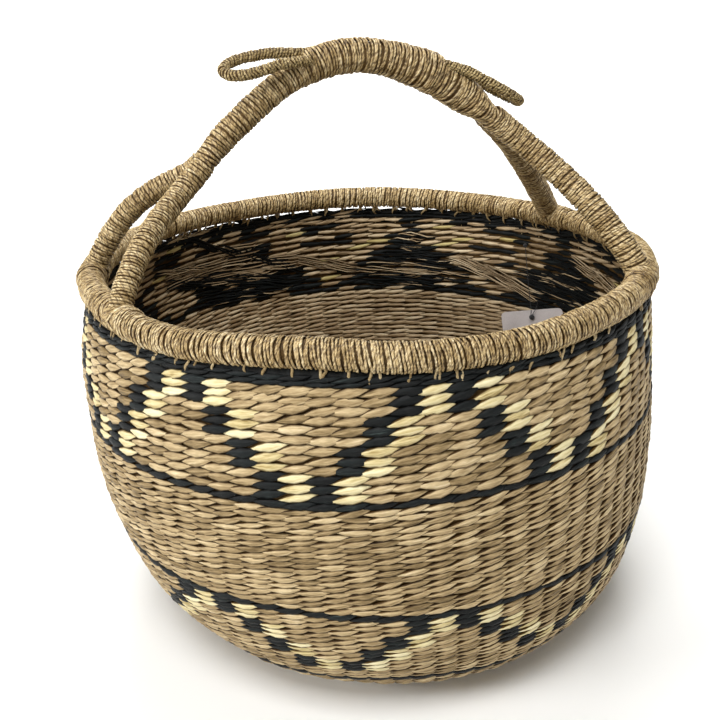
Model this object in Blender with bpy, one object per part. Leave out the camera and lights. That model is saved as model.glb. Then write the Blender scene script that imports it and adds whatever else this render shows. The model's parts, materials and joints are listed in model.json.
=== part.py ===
"""Round twined grass basket with a bound rim, an arched carrying handle and a paper hang tag.

The basket stands on z = 0 and its handle runs roughly along X. Angles round the basket are
measured from the front (-Y) towards the right (+X). All lengths are in metres.
"""
import math

import bpy
import bmesh
from mathutils import Vector

# Driving sizes of the bowl
BODY_RADIUS = 0.209          # outside, at the widest round
WALL_TOP_HEIGHT = 0.2590     # upper edge of the last weft round
WEFT_THICKNESS = 0.0020      # one layer of weft, outside or inside the stakes
STAKE_DEPTH = 0.0022         # stake size across the wall
STAKE_WIDTH = 0.0022         # stake size along the wall
STAKE_COUNT = 80
LAYER_GAP = 0.0004           # clearance between stakes and weft
SEAT_GAP = 0.0003            # clearance between pieces that touch
BASE_SHIFT = 0.0259          # how far the foot of the bowl leans to the right of its rim
BELLY_SHIFT = 0.0087         # how far its belly hangs back to the left
BASE_START_RADIUS = 0.022    # the knot of crossed grass in the middle of the base
HUB_RADIUS = 0.036           # where the crossed stakes fan out
BASE_ROUND_HEIGHT = 0.0340   # middle of the dark round where the wall turns under
LOWER_ROUND_HEIGHT = 0.1020  # middle of the dark round under the plain band
UPPER_ROUND_HEIGHT = 0.1840  # middle of the dark round over the plain band
TOP_ROUNDS_WIDTH = 0.0090    # the dark rounds under the rim, together
DARK_ROUND_WIDTH = 0.0050
RIB_DEPTH = 0.0008           # rows of twining stand out as ribs, one rib for two rows
LOWER_RIBS = 7
PLAIN_RIBS = 9
UPPER_RIBS = 6
TOP_RIBS = 2
INNER_RIBS = 13

# Bowl outline from the edge of the flat base to the top, as shares of height and of radius
OUTLINE_SHARES = (
    (0.000, 0.655),
    (0.038, 0.722),
    (0.100, 0.821),
    (0.200, 0.904),
    (0.350, 0.965),
    (0.500, 0.990),
    (0.700, 1.000),
    (0.860, 0.992),
    (1.000, 0.966),
)

# Driving sizes of the rim
RIM_INSET = 0.0040           # outside of the rim, inwards from the widest round
RIM_RISE = 0.0120            # centre of the rim bundle, above the last weft round
RIM_BUNDLE_RADIUS = 0.0095   # over its winding
RIM_WRAP_THICKNESS = 0.0018
RIM_SIDES = 8
FIRST_STAKE_ANGLE = math.radians(-12.0)

# Driving sizes of the handle
HANDLE_TURN = math.radians(12.1)   # direction of the handle, from +X
HANDLE_FORWARD = 0.0162            # its plane, in front of the middle of the rim
HANDLE_LEFTWARD = 0.0040
HANDLE_RISE = 0.141          # middle of the handle above the middle of the rim
HANDLE_CORE_RADIUS = 0.0076  # the two grass bundles laid together
HANDLE_WRAP_THICKNESS = 0.0016
GRIP_WRAP_THICKNESS = 0.0020
GRIP_CROWN_RISE = 0.0015     # extra height of the grip, where the loop strands are bound in
GRIP_START = -0.042          # along the handle from its middle
GRIP_END = 0.052
LEG_CORE_RADIUS = 0.0061
FORK_FLARE_LENGTH = 0.026    # over which the two bundles part
BINDING_THICKNESS = 0.0018
BINDING_HALF_LENGTH = 0.021

# Middle line of the handle between its forks: shares of the rim radius and of the rise
ARCH_SHARES = (
    (-0.560, 0.545),
    (-0.448, 0.704),
    (-0.234, 0.925),
    (-0.028, 1.000),
    (0.175, 0.943),
    (0.339, 0.823),
    (0.460, 0.692),
)

# Front and back leg: angle of the foot on the rim, how far the leg keeps its direction at the
# fork and at the foot, as shares of its length, and how steeply it meets the rim
LEFT_LEGS = ((math.radians(-52.0), 0.32, 0.40, 0.53), (math.radians(-82.0), 0.21, 0.74, 0.45))
RIGHT_LEGS = ((math.radians(69.2), 0.30, 0.36, 0.35), (math.radians(127.3), 0.21, 0.25, 0.07))

# Driving sizes of the two small loops
LOOP_STRAND_RADIUS = 0.0038
LEFT_LOOP_LENGTH = 0.045
RIGHT_LOOP_LENGTH = 0.059
LOOP_WIDTH = 0.024
LEFT_LOOP_CLOCK = math.radians(30.0)   # how far round to the front of the grip it starts
RIGHT_LOOP_CLOCK = math.radians(-4.0)
LEFT_LOOP_DROP = math.radians(11.0)
RIGHT_LOOP_DROP = math.radians(30.5)
LOOP_POINTS = 17

# Driving sizes of the hang tag
TIE_DROP = 0.0210            # knot that holds the thread to the inner wall, below the last round
TIE_ANGLE = math.radians(134.4)
TIE_KNOT_RADIUS = 0.0020
THREAD_RADIUS = 0.0006
CARD_DROP = 0.0544           # top edge of the card, below that knot
CARD_INSET = 0.0225          # top edge of the card, inwards from the widest round
CARD_ANGLE = math.radians(129.7)
CARD_HEADING = math.radians(-31.0)   # direction of the card's width, from +X
CARD_TILT = math.radians(13.0)       # it hangs with its front corner higher
CARD_LEAN = math.radians(9.0)        # its lower end stands off the wall
CARD_WIDTH = 0.058
CARD_LENGTH = 0.076
CARD_THICKNESS = 0.0006
CARD_CORNER = 0.004
CARD_HOLE_RADIUS = 0.0021
CARD_HOLE_DROP = 0.0062      # hole below the card's top edge
CARD_PIVOT_GAP = 0.0008      # thread end to card edge

# How finely the handle is divided along its length
FORK_STEPS = 3
ARM_STEPS = 3
GRIP_STEPS = 6
LEG_STEPS = 7
LEG_SIDES = 10

# Values that follow from the driving sizes
RING_STEPS = STAKE_COUNT // 2
STEP_ANGLE = 2 * math.pi / RING_STEPS
STAKE_ANGLE = 2 * math.pi / STAKE_COUNT
RIM_HEIGHT = WALL_TOP_HEIGHT + RIM_RISE
RIM_RADIUS = BODY_RADIUS - RIM_INSET - RIM_BUNDLE_RADIUS
RIM_CORE_RADIUS = RIM_BUNDLE_RADIUS - RIM_WRAP_THICKNESS - SEAT_GAP
CAGE_OUTSIDE = WEFT_THICKNESS + LAYER_GAP
CAGE_INSIDE = CAGE_OUTSIDE + STAKE_DEPTH
INNER_WEFT_OUTSIDE = CAGE_INSIDE + LAYER_GAP
INNER_WEFT_INSIDE = INNER_WEFT_OUTSIDE + WEFT_THICKNESS
ARM_BORE = HANDLE_CORE_RADIUS + SEAT_GAP
ARM_OUTSIDE = ARM_BORE + HANDLE_WRAP_THICKNESS
LEG_BORE = LEG_CORE_RADIUS + SEAT_GAP
LEG_OUTSIDE = LEG_BORE + HANDLE_WRAP_THICKNESS
FORK_OFFSET = LEG_OUTSIDE + SEAT_GAP / 2
MERGED_OFFSET = HANDLE_CORE_RADIUS / 2
BINDING_BORE = RIM_BUNDLE_RADIUS + SEAT_GAP
BINDING_OUTSIDE = BINDING_BORE + BINDING_THICKNESS
TOP_ROUNDS_HEIGHT = WALL_TOP_HEIGHT - TOP_ROUNDS_WIDTH
TIE_HEIGHT = WALL_TOP_HEIGHT - TIE_DROP
CARD_TOP_HEIGHT = TIE_HEIGHT - CARD_DROP
CARD_TOP_RADIUS = BODY_RADIUS - CARD_INSET
UP = Vector((0.0, 0.0, 1.0))


# Scene helpers

def clear_objects():
    for item in list(bpy.data.objects):
        bpy.data.objects.remove(item, do_unlink=True)


def make_material(name, colour, roughness, metallic=0.0):
    material = bpy.data.materials.new(name)
    material.use_nodes = True
    shader = material.node_tree.nodes["Principled BSDF"]
    shader.inputs["Base Color"].default_value = (*colour, 1.0)
    shader.inputs["Roughness"].default_value = roughness
    shader.inputs["Metallic"].default_value = metallic
    material.diffuse_color = (*colour, 1.0)
    return material


def new_object(name, mesh, material, parent):
    piece = bpy.data.objects.new(name, mesh)
    bpy.context.scene.collection.objects.link(piece)
    if material is not None:
        mesh.materials.append(material)
    piece.parent = parent
    return piece


def solid_from(name, points, faces, material, parent, origin=Vector((0.0, 0.0, 0.0))):
    """Makes one closed solid; faces are turned outwards."""
    mesh = bpy.data.meshes.new(name)
    build = bmesh.new()
    corners = [build.verts.new(point - origin) for point in points]
    for face in faces:
        build.faces.new([corners[index] for index in face])
    bmesh.ops.recalc_face_normals(build, faces=build.faces)
    build.to_mesh(mesh)
    build.free()
    mesh.shade_smooth()
    mesh.set_sharp_from_angle(angle=math.radians(40.0))
    piece = new_object(name, mesh, material, parent)
    piece.location = origin - (parent.matrix_world.translation if parent else Vector())
    return piece


def empty_at(name, place, parent):
    marker = bpy.data.objects.new(name, None)
    bpy.context.scene.collection.objects.link(marker)
    marker.parent = parent
    marker.location = place - (parent.matrix_world.translation if parent else Vector())
    bpy.context.view_layer.update()
    return marker


# Geometry of the bowl

def outline_corners():
    """Outside of the bowl from the middle of the base to the top, as (radius, height)."""
    corners = [(0.0, 0.0)]
    for height_share, radius_share in OUTLINE_SHARES:
        corners.append((radius_share * BODY_RADIUS, height_share * WALL_TOP_HEIGHT))
    return corners


def inset_outline(depth):
    """The outline moved into the wall by a depth, with mitred corners."""
    corners = outline_corners()
    normals = []
    for low, high in zip(corners, corners[1:]):
        run, rise = high[0] - low[0], high[1] - low[1]
        length = math.hypot(run, rise)
        normals.append((-rise / length, run / length))
    moved = []
    for index, (radius, height) in enumerate(corners):
        before = normals[max(index - 1, 0)]
        after = normals[min(index, len(normals) - 1)]
        across = (before[0] + after[0], before[1] + after[1])
        size = across[0] ** 2 + across[1] ** 2
        factor = 2 * depth / size
        moved.append((radius + across[0] * factor, height + across[1] * factor))
    moved[0] = (0.0, depth)
    return moved


def outline_point(depth, station):
    corners = inset_outline(depth)
    index = min(int(station), len(corners) - 2)
    part = station - index
    low, high = corners[index], corners[index + 1]
    return (low[0] + (high[0] - low[0]) * part, low[1] + (high[1] - low[1]) * part)


def station_at_height(height):
    corners = outline_corners()
    for index in range(1, len(corners) - 1):
        low, high = corners[index][1], corners[index + 1][1]
        if low <= height <= high:
            return index + (height - low) / (high - low)
    return float(len(corners) - 1)


def station_at_base_radius(radius):
    return radius / outline_corners()[1][0]


def station_moved(station, distance):
    """A station moved along the outline by a short distance."""
    corners = outline_corners()
    index = min(int(station), len(corners) - 2)
    low, high = corners[index], corners[index + 1]
    return station + distance / math.hypot(high[0] - low[0], high[1] - low[1])


def length_at_station(station):
    corners = outline_corners()
    length = 0.0
    for index, (low, high) in enumerate(zip(corners, corners[1:])):
        part = min(max(station - index, 0.0), 1.0)
        length += part * math.hypot(high[0] - low[0], high[1] - low[1])
    return length


def station_at_length(length):
    corners = outline_corners()
    for index, (low, high) in enumerate(zip(corners, corners[1:])):
        span = math.hypot(high[0] - low[0], high[1] - low[1])
        if length <= span:
            return index + length / span
        length -= span
    return float(len(corners) - 1)


def leaned(point):
    """The hand-made bowl stands a little to one side of its rim."""
    share = max(0.0, 1.0 - point.z / WALL_TOP_HEIGHT)
    lean = BASE_SHIFT * share ** 2 - BELLY_SHIFT * share
    return Vector((point.x + lean, point.y, point.z))


def direction_at(angle):
    return Vector((math.sin(angle), -math.cos(angle), 0.0))


def facet_scale(angle):
    """Rings are polygons: radius at an angle, against the radius at their corners."""
    offset = (angle - FIRST_STAKE_ANGLE) % STEP_ANGLE
    return math.cos(STEP_ANGLE / 2) / math.cos(offset - STEP_ANGLE / 2)


def ring_point(angle, radius, height):
    point = direction_at(angle) * radius * facet_scale(angle)
    return leaned(point + UP * height)


def ring_solid(name, section, material, parent):
    """Turns a closed section of (radius, height) corners round the axis."""
    points, rows = [], []
    for radius, height in section:
        if radius <= 0.0:
            rows.append([len(points)] * RING_STEPS)
            points.append(leaned(UP * height))
            continue
        rows.append([len(points) + step for step in range(RING_STEPS)])
        for step in range(RING_STEPS):
            angle = FIRST_STAKE_ANGLE + step * STEP_ANGLE
            points.append(ring_point(angle, radius, height))
    faces = []
    for row, following in zip(rows, rows[1:] + rows[:1]):
        if row[0] == row[1] and following[0] == following[1]:
            continue
        for step in range(RING_STEPS):
            after = (step + 1) % RING_STEPS
            corners = [row[step], row[after], following[after], following[step]]
            faces.append(list(dict.fromkeys(corners)))
    return solid_from(name, points, faces, material, parent)


def ribbed_line(start, end, ribs, crest, valley):
    """Points along one face of a weft layer, from valley to crest and back for each rib."""
    low, high = length_at_station(start), length_at_station(end)
    line = []
    for index in range(2 * ribs + 1):
        station = station_at_length(low + (high - low) * index / (2 * ribs))
        line.append(outline_point(crest if index % 2 else valley, station))
    return line


def weft_section(start, end, outside, inside, ribs=0):
    """Section of a weft layer between two stations, with its edges drawn in by half a gap."""
    start = station_moved(start, SEAT_GAP / 2) if start > 0.0 else start
    end = station_moved(end, -SEAT_GAP / 2)
    between = [float(station) for station in range(math.floor(start) + 1, math.ceil(end))]
    stations = [start, *between, end]
    outer = [outline_point(outside, station) for station in stations]
    inner = [outline_point(inside, station) for station in reversed(stations)]
    if ribs:
        outer = ribbed_line(start, end, ribs, outside, outside + RIB_DEPTH)
    return outer + inner


def inner_weft_section(end):
    """Section of the inner weft: smooth on the bottom, ribbed on the wall."""
    wall = station_at_height(BASE_ROUND_HEIGHT)
    end = station_moved(end, -SEAT_GAP / 2)
    bottom = [float(station) for station in range(math.floor(wall) + 1)]
    outer = [outline_point(INNER_WEFT_OUTSIDE, float(station)) for station in range(math.ceil(end))]
    outer.append(outline_point(INNER_WEFT_OUTSIDE, end))
    inner = [outline_point(INNER_WEFT_INSIDE, station) for station in bottom]
    inner += ribbed_line(wall, end, INNER_RIBS, INNER_WEFT_INSIDE, INNER_WEFT_INSIDE - RIB_DEPTH)
    return outer + inner[::-1]


def build_weft(parent, straw, dark, cream):
    half = DARK_ROUND_WIDTH / 2
    last = float(len(OUTLINE_SHARES))
    edges = [
        ("base_start", straw, 0, 0.0),
        ("base_weave", straw, 0, station_at_base_radius(BASE_START_RADIUS)),
        ("base_dark_round", dark, 1, station_at_height(BASE_ROUND_HEIGHT - half)),
        ("lower_pattern_band", cream, LOWER_RIBS, station_at_height(BASE_ROUND_HEIGHT + half)),
        ("lower_dark_round", dark, 1, station_at_height(LOWER_ROUND_HEIGHT - half)),
        ("plain_middle_band", straw, PLAIN_RIBS, station_at_height(LOWER_ROUND_HEIGHT + half)),
        ("upper_dark_round", dark, 1, station_at_height(UPPER_ROUND_HEIGHT - half)),
        ("upper_pattern_band", cream, UPPER_RIBS, station_at_height(UPPER_ROUND_HEIGHT + half)),
        ("top_dark_rounds", dark, TOP_RIBS, station_at_height(TOP_ROUNDS_HEIGHT)),
    ]
    ends = [edge[3] for edge in edges[1:]] + [last]
    for (name, material, ribs, start), end in zip(edges, ends):
        section = weft_section(start, end, 0.0, WEFT_THICKNESS, ribs)
        ring_solid(name, section, material, parent)
    ring_solid("inner_weft", inner_weft_section(last), straw, parent)


def build_stakes(parent, straw):
    """The warp: stakes crossed under the base that fan out and climb inside the wall to the rim."""
    tip_height = RIM_HEIGHT - RIM_CORE_RADIUS * math.cos(math.pi / RIM_SIDES) - SEAT_GAP
    hub_station = station_at_base_radius(HUB_RADIUS)
    stations = [hub_station] + [float(index) for index in range(1, len(OUTLINE_SHARES) + 1)]
    lines = [(outline_point(CAGE_OUTSIDE, s), outline_point(CAGE_INSIDE, s)) for s in stations]
    half_depth = STAKE_DEPTH / 2
    lines.append(((RIM_RADIUS + half_depth, tip_height), (RIM_RADIUS - half_depth, tip_height)))
    points, faces, bars = [], [], []
    for index in range(STAKE_COUNT):
        angle = FIRST_STAKE_ANGLE + index * STAKE_ANGLE
        along = Vector((math.cos(angle), math.sin(angle), 0.0)) * STAKE_WIDTH / 2
        rows = []
        for outer, inner in lines:
            outside = direction_at(angle) * outer[0] * facet_scale(angle) + UP * outer[1]
            inside = direction_at(angle) * inner[0] * facet_scale(angle) + UP * inner[1]
            corners = [outside - along, outside + along, inside + along, inside - along]
            rows.append(list(range(len(points), len(points) + 4)))
            points.extend(leaned(corner) for corner in corners)
        for low, high in zip(rows, rows[1:]):
            for side in range(4):
                after = (side + 1) % 4
                faces.append([low[side], low[after], high[after], high[side]])
        faces.append(rows[-1])
        bars.append(rows[0])
    low_middle, high_middle = len(points), len(points) + 1
    points.append(leaned(UP * lines[0][0][1]))
    points.append(leaned(UP * lines[0][1][1]))
    for index, bar in enumerate(bars):
        following = bars[(index + 1) % STAKE_COUNT]
        faces.append([low_middle, bar[0], bar[1]])
        faces.append([low_middle, bar[1], following[0]])
        faces.append([high_middle, bar[3], bar[2]])
        faces.append([high_middle, bar[2], following[3]])
        faces.append([bar[1], following[0], following[3], bar[2]])
    return solid_from("warp_stakes", points, faces, straw, parent)


# Geometry of the rim

def rim_arc(size):
    """Section corners round the rim bundle, from one lip of the opening below to the other."""
    arc = []
    for index in range(RIM_SIDES):
        turn = (index + 0.5) * 2 * math.pi / RIM_SIDES
        arc.append((RIM_RADIUS + size * math.sin(turn), RIM_HEIGHT - size * math.cos(turn)))
    return arc


def build_rim(parent, straw, rim_straw):
    ring_solid("rim_core", rim_arc(RIM_CORE_RADIUS), straw, parent)
    bore = rim_arc(RIM_CORE_RADIUS + SEAT_GAP)
    ring_solid("rim_wrap", rim_arc(RIM_BUNDLE_RADIUS) + bore[::-1], rim_straw, parent)


def build_binding(name, foot_angle, parent, material):
    """A collar of winding round the rim under one leg, open below for the stakes."""
    reach = BINDING_HALF_LENGTH / RIM_RADIUS
    first, last = foot_angle - reach, foot_angle + reach
    angles = [first]
    step = math.floor((first - FIRST_STAKE_ANGLE) / STEP_ANGLE) + 1
    while FIRST_STAKE_ANGLE + step * STEP_ANGLE < last:
        angles.append(FIRST_STAKE_ANGLE + step * STEP_ANGLE)
        step += 1
    angles.append(last)
    section = rim_arc(BINDING_OUTSIDE) + rim_arc(BINDING_BORE)[::-1]
    points, faces = [], []
    for angle in angles:
        points.extend(ring_point(angle, radius, height) for radius, height in section)
    count = len(section)
    for row in range(len(angles) - 1):
        for index in range(count):
            after = (index + 1) % count
            low, high = row * count, (row + 1) * count
            faces.append([low + index, low + after, high + after, high + index])
    for row, turned in ((0, False), (len(angles) - 1, True)):
        for index in range(RIM_SIDES - 1):
            near, far = row * count, row * count + count - 1
            faces.append([near + index, near + index + 1, far - index - 1, far - index])
    return solid_from(name, points, faces, material, parent)


# Geometry of the handle

def foot_point(angle):
    return direction_at(angle) * RIM_RADIUS * facet_scale(angle) + UP * RIM_HEIGHT


def handle_frame():
    """Middle of the handle at rim height, its direction and the direction to its back."""
    along = Vector((math.cos(HANDLE_TURN), math.sin(HANDLE_TURN), 0.0))
    back = UP.cross(along)
    middle = UP * RIM_HEIGHT - along * HANDLE_LEFTWARD - back * HANDLE_FORWARD
    return middle, along, back


def spline_point(knots, place):
    """Catmull-Rom curve through the knots; place runs from 0 to the number of spans."""
    spans = len(knots) - 1
    index = min(max(int(place), 0), spans - 1)
    part = place - index
    before = knots[index - 1] if index > 0 else 2 * knots[0] - knots[1]
    after = knots[index + 2] if index + 2 <= spans else 2 * knots[-1] - knots[-2]
    start, end = knots[index], knots[index + 1]
    return 0.5 * (
        2 * start
        + (end - before) * part
        + (2 * before - 5 * start + 4 * end - after) * part ** 2
        + (3 * start - before - 3 * end + after) * part ** 3
    )


def arch_line():
    """Points along the middle of the handle between its forks, closely spaced."""
    middle, along, back = handle_frame()
    knots = []
    for reach_share, rise_share in ARCH_SHARES:
        reach, rise = reach_share * RIM_RADIUS, rise_share * HANDLE_RISE
        knots.append(middle + along * reach + UP * rise)
    samples = 8 * (len(knots) - 1)
    return [spline_point(knots, index / 8) for index in range(samples + 1)]


def lengths_along(line):
    total, lengths = 0.0, [0.0]
    for start, end in zip(line, line[1:]):
        total += (end - start).length
        lengths.append(total)
    return lengths


def point_along(line, lengths, distance):
    """Point and direction at a distance along a line of points."""
    distance = min(max(distance, 0.0), lengths[-1])
    index = 0
    while index < len(line) - 2 and lengths[index + 1] < distance:
        index += 1
    span = lengths[index + 1] - lengths[index]
    part = (distance - lengths[index]) / span
    point = line[index].lerp(line[index + 1], part)
    near = line[min(index + 2, len(line) - 1)] - line[max(index - 1, 0)]
    return point, near.normalized()


def leg_rows(fork, heading, leg):
    """Places and directions along a leg, from its fork down into the middle of the rim bundle."""
    angle, fork_share, foot_share, drop_share = leg
    foot = foot_point(angle)
    length = (foot - fork).length
    drop = ((foot - fork).normalized() * (1 - drop_share) - UP * drop_share).normalized()
    fork_pull, foot_pull = heading * length * fork_share, drop * length * foot_share
    pulls = (fork, fork + fork_pull, foot - foot_pull, foot)
    edges = [end - start for start, end in zip(pulls, pulls[1:])]
    rows = []
    for part in spread(0.0, 1.0, LEG_STEPS):
        rest = 1.0 - part
        weights = (rest ** 3, 3 * rest ** 2 * part, 3 * rest * part ** 2, part ** 3)
        slopes = (rest ** 2, 2 * rest * part, part ** 2)
        point = sum((pull * weight for pull, weight in zip(pulls, weights)), Vector())
        slope = sum((edge * weight for edge, weight in zip(edges, slopes)), Vector())
        rows.append((point, slope.normalized()))
    return rows


def cross_frame(direction, back):
    side = (back - direction * back.dot(direction)).normalized()
    return side, direction.cross(side).normalized()


def arc_turns(count):
    return [-math.pi / 2 + math.pi * index / (count - 1) for index in range(count)]


def loft(name, rows, material, parent, bore_rows=None):
    """Joins rows of section points into a solid, or into an open-ended sleeve with a bore."""
    count = len(rows[0])
    points, faces = [], []
    for row in rows + (bore_rows or []):
        points.extend(row)
    levels = len(rows)

    def skin(first):
        for level in range(levels - 1):
            for index in range(count):
                after = (index + 1) % count
                low, high = (first + level) * count, (first + level + 1) * count
                faces.append([low + index, low + after, high + after, high + index])

    skin(0)
    if bore_rows is None:
        faces.append(list(range(count)))
        faces.append([(levels - 1) * count + index for index in range(count)])
        return solid_from(name, points, faces, material, parent)
    skin(levels)
    for level in (0, levels - 1):
        for index in range(count):
            after = (index + 1) % count
            outer, inner = level * count, (levels + level) * count
            faces.append([outer + index, outer + after, inner + after, inner + index])
    return solid_from(name, points, faces, material, parent)


def bundle_section(side_sign, parted):
    """One grass bundle, as (side, up): half of a round when laid together, a round when parted."""
    section = []
    for turn in arc_turns(6):
        together = (math.cos(turn) * HANDLE_CORE_RADIUS, math.sin(turn) * HANDLE_CORE_RADIUS)
        apart = (FORK_OFFSET + math.cos(turn) * LEG_CORE_RADIUS, math.sin(turn) * LEG_CORE_RADIUS)
        section.append((together, apart))
    for index in range(1, 5):
        turn = math.pi / 2 + math.pi * index / 5
        flat = (SEAT_GAP / 2, HANDLE_CORE_RADIUS * (1 - 2 * index / 5))
        apart = (FORK_OFFSET + math.cos(turn) * LEG_CORE_RADIUS, math.sin(turn) * LEG_CORE_RADIUS)
        section.append((flat, apart))
    corners = []
    for together, apart in section:
        side = max(together[0] + (apart[0] - together[0]) * parted, SEAT_GAP / 2)
        rise = together[1] + (apart[1] - together[1]) * parted
        corners.append((side_sign * side, rise))
    return corners


def sleeve_section(parted, merged_size, parted_size, crown=0.0):
    """Winding round both bundles: a round when they lie together, a long round at the fork."""
    corners = []
    for side_sign in (1, -1):
        turns = arc_turns(6) if side_sign == 1 else arc_turns(6)[::-1]
        for turn in turns:
            side = math.cos(turn) * (merged_size + (parted_size - merged_size) * parted)
            side += FORK_OFFSET * parted
            rise = math.sin(turn) * (merged_size + (parted_size - merged_size) * parted)
            side = max(side, SEAT_GAP / 2)
            lift = crown if rise > 0 else 0.0
            corners.append((side_sign * side, rise + lift))
    return corners


def placed(section, point, direction, back):
    side, rise = cross_frame(direction, back)
    return [point + side * across + rise * above for across, above in section]


def parting(distance, total):
    """How far the bundles have parted at a distance along the arch, from 0 to 1."""
    near_end = min(distance, total - distance)
    share = max(0.0, 1.0 - near_end / FORK_FLARE_LENGTH)
    return share * share * (3 - 2 * share)


def spread(start, end, steps):
    return [start + (end - start) * index / steps for index in range(steps + 1)]


def rim_cutter(parent):
    """Cuts the feet of the legs to the shape of the bindings they stand on."""
    section = rim_arc(BINDING_OUTSIDE + SEAT_GAP)
    cutter = ring_solid("rim_cutter", section, None, parent)
    cutter.hide_render = True
    cutter.display_type = "WIRE"
    return cutter


def cut_to_rim(piece, cutter):
    cut = piece.modifiers.new("seat on rim", "BOOLEAN")
    cut.operation = "DIFFERENCE"
    cut.solver = "EXACT"
    cut.object = cutter


def build_handle(parent, straw, rim_straw):
    middle, along, back = handle_frame()
    arch = arch_line()
    lengths = lengths_along(arch)
    total = lengths[-1]
    crest = min(range(len(arch)), key=lambda index: abs((arch[index] - middle).dot(along)))
    cutter = rim_cutter(parent)
    ends = {}
    for label, distance, turned in (("left", 0.0, -1.0), ("right", total, 1.0)):
        point, heading = point_along(arch, lengths, distance)
        ends[label] = (point, heading * turned)
    sides = {"left": LEFT_LEGS, "right": RIGHT_LEGS}

    grip_start = lengths[crest] + GRIP_START
    grip_end = lengths[crest] + GRIP_END
    left_fork = spread(0.0, FORK_FLARE_LENGTH, FORK_STEPS)
    left_arm = left_fork + spread(FORK_FLARE_LENGTH, grip_start, ARM_STEPS)[1:]
    grip = spread(grip_start, grip_end, GRIP_STEPS)
    right_fork = spread(total - FORK_FLARE_LENGTH, total, FORK_STEPS)
    right_arm = spread(grip_end, total - FORK_FLARE_LENGTH, ARM_STEPS)[:-1] + right_fork
    stations = left_arm + grip[1:-1] + right_arm

    # Each bundle is one piece, from its left foot over the arch to its right foot
    for order, (label, side_sign) in enumerate((("front", -1), ("back", 1))):
        legs = {}
        for end, (point, heading) in ends.items():
            fork = point + back * FORK_OFFSET * side_sign
            legs[end] = leg_rows(fork, heading, sides[end][order])
        rows = []
        single = [(side - side_sign * FORK_OFFSET, rise) for side, rise in bundle_section(side_sign, 1.0)]
        for point, heading in legs["left"][::-1]:
            rows.append(placed(single, point, -heading, back))
        for distance in stations[1:-1]:
            point, heading = point_along(arch, lengths, distance)
            section = bundle_section(side_sign, parting(distance, total))
            rows.append(placed(section, point, heading, back))
        for point, heading in legs["right"]:
            rows.append(placed(single, point, heading, back))
        bundle = loft(f"{label}_bundle", rows, straw, parent)
        cut_to_rim(bundle, cutter)
        for end in ("left", "right"):
            build_leg_wrap(f"{end}_{label}_leg_wrap", legs[end], back, cutter, parent, rim_straw)
            build_binding(f"{end}_{label}_foot_binding", sides[end][order][0], parent, rim_straw)

    left_arm[-1] -= SEAT_GAP
    right_arm[0] += SEAT_GAP
    grip_outside = ARM_BORE + GRIP_WRAP_THICKNESS
    sleeves = (
        ("left_arm_wrap", left_arm, ARM_OUTSIDE, 0.0),
        ("grip_wrap", grip, grip_outside, GRIP_CROWN_RISE),
        ("right_arm_wrap", right_arm, ARM_OUTSIDE, 0.0),
    )
    for name, places, size, crown in sleeves:
        rows, bores = [], []
        for distance in places:
            point, heading = point_along(arch, lengths, distance)
            parted = parting(distance, total)
            rows.append(placed(sleeve_section(parted, size, LEG_OUTSIDE, crown), point, heading, back))
            bores.append(placed(sleeve_section(parted, ARM_BORE, LEG_BORE), point, heading, back))
        loft(name, rows, rim_straw, parent, bores)
    left_place = (*point_along(arch, lengths, grip_start), -1.0)
    right_place = (*point_along(arch, lengths, grip_end), 1.0)
    build_loop("left_loop", left_place, LEFT_LOOP_LENGTH, LEFT_LOOP_DROP, LEFT_LOOP_CLOCK,
               back, parent, rim_straw)
    build_loop("right_loop", right_place, RIGHT_LOOP_LENGTH, RIGHT_LOOP_DROP, RIGHT_LOOP_CLOCK,
               back, parent, rim_straw)


def build_leg_wrap(name, leg, back, cutter, parent, material):
    rows, bores = [], []
    turns = [math.pi / 2 + 2 * math.pi * index / LEG_SIDES for index in range(LEG_SIDES)]
    outer = [(math.cos(turn) * LEG_OUTSIDE, math.sin(turn) * LEG_OUTSIDE) for turn in turns]
    inner = [(math.cos(turn) * LEG_BORE, math.sin(turn) * LEG_BORE) for turn in turns]
    for index, (point, heading) in enumerate(leg):
        if index == 0:
            point = point + heading * SEAT_GAP
        rows.append(placed(outer, point, heading, back))
        bores.append(placed(inner, point, heading, back))
    wrap = loft(name, rows, material, parent, bores)
    cut_to_rim(wrap, cutter)
    return wrap


def build_loop(name, place, loop_length, drop, clock, back, parent, material):
    """A small loop of wound strand that leaves the end of the grip and returns to it."""
    point, heading, sign = place
    side, rise = cross_frame(heading, back)
    level = Vector((heading.x, heading.y, 0.0)).normalized() * sign
    outwards = level * math.cos(drop) - UP * math.sin(drop)
    clear_of_arm = rise * math.cos(clock) - side * math.sin(clock)
    across = side * math.cos(clock) + rise * math.sin(clock)
    spacing = LOOP_STRAND_RADIUS + SEAT_GAP
    clear = ARM_OUTSIDE + spacing
    start = point + clear_of_arm * clear + heading * sign * 3 * SEAT_GAP
    swell = LOOP_WIDTH / 2 - spacing
    curve = bpy.data.curves.new(name, "CURVE")
    curve.dimensions = "3D"
    curve.bevel_depth = LOOP_STRAND_RADIUS
    curve.bevel_resolution = 2
    curve.use_fill_caps = True
    spline = curve.splines.new("POLY")
    spline.points.add(LOOP_POINTS - 1)
    for index in range(LOOP_POINTS):
        turn = math.pi * index / (LOOP_POINTS - 1)
        reach = loop_length * math.sin(turn)
        breadth = spacing * math.cos(turn) + swell * math.sin(2 * turn)
        spot = start + outwards * reach + across * breadth
        spline.points[index].co = (*spot, 1.0)
    piece = bpy.data.objects.new(name, curve)
    curve.materials.append(material)
    bpy.context.scene.collection.objects.link(piece)
    piece.parent = parent
    return piece


# The hang tag

def tie_point():
    radius, height = outline_point(INNER_WEFT_INSIDE, station_at_height(TIE_HEIGHT))
    inset = TIE_KNOT_RADIUS + SEAT_GAP
    point = direction_at(TIE_ANGLE) * (radius * facet_scale(TIE_ANGLE) - inset) + UP * height
    return leaned(point)


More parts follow.
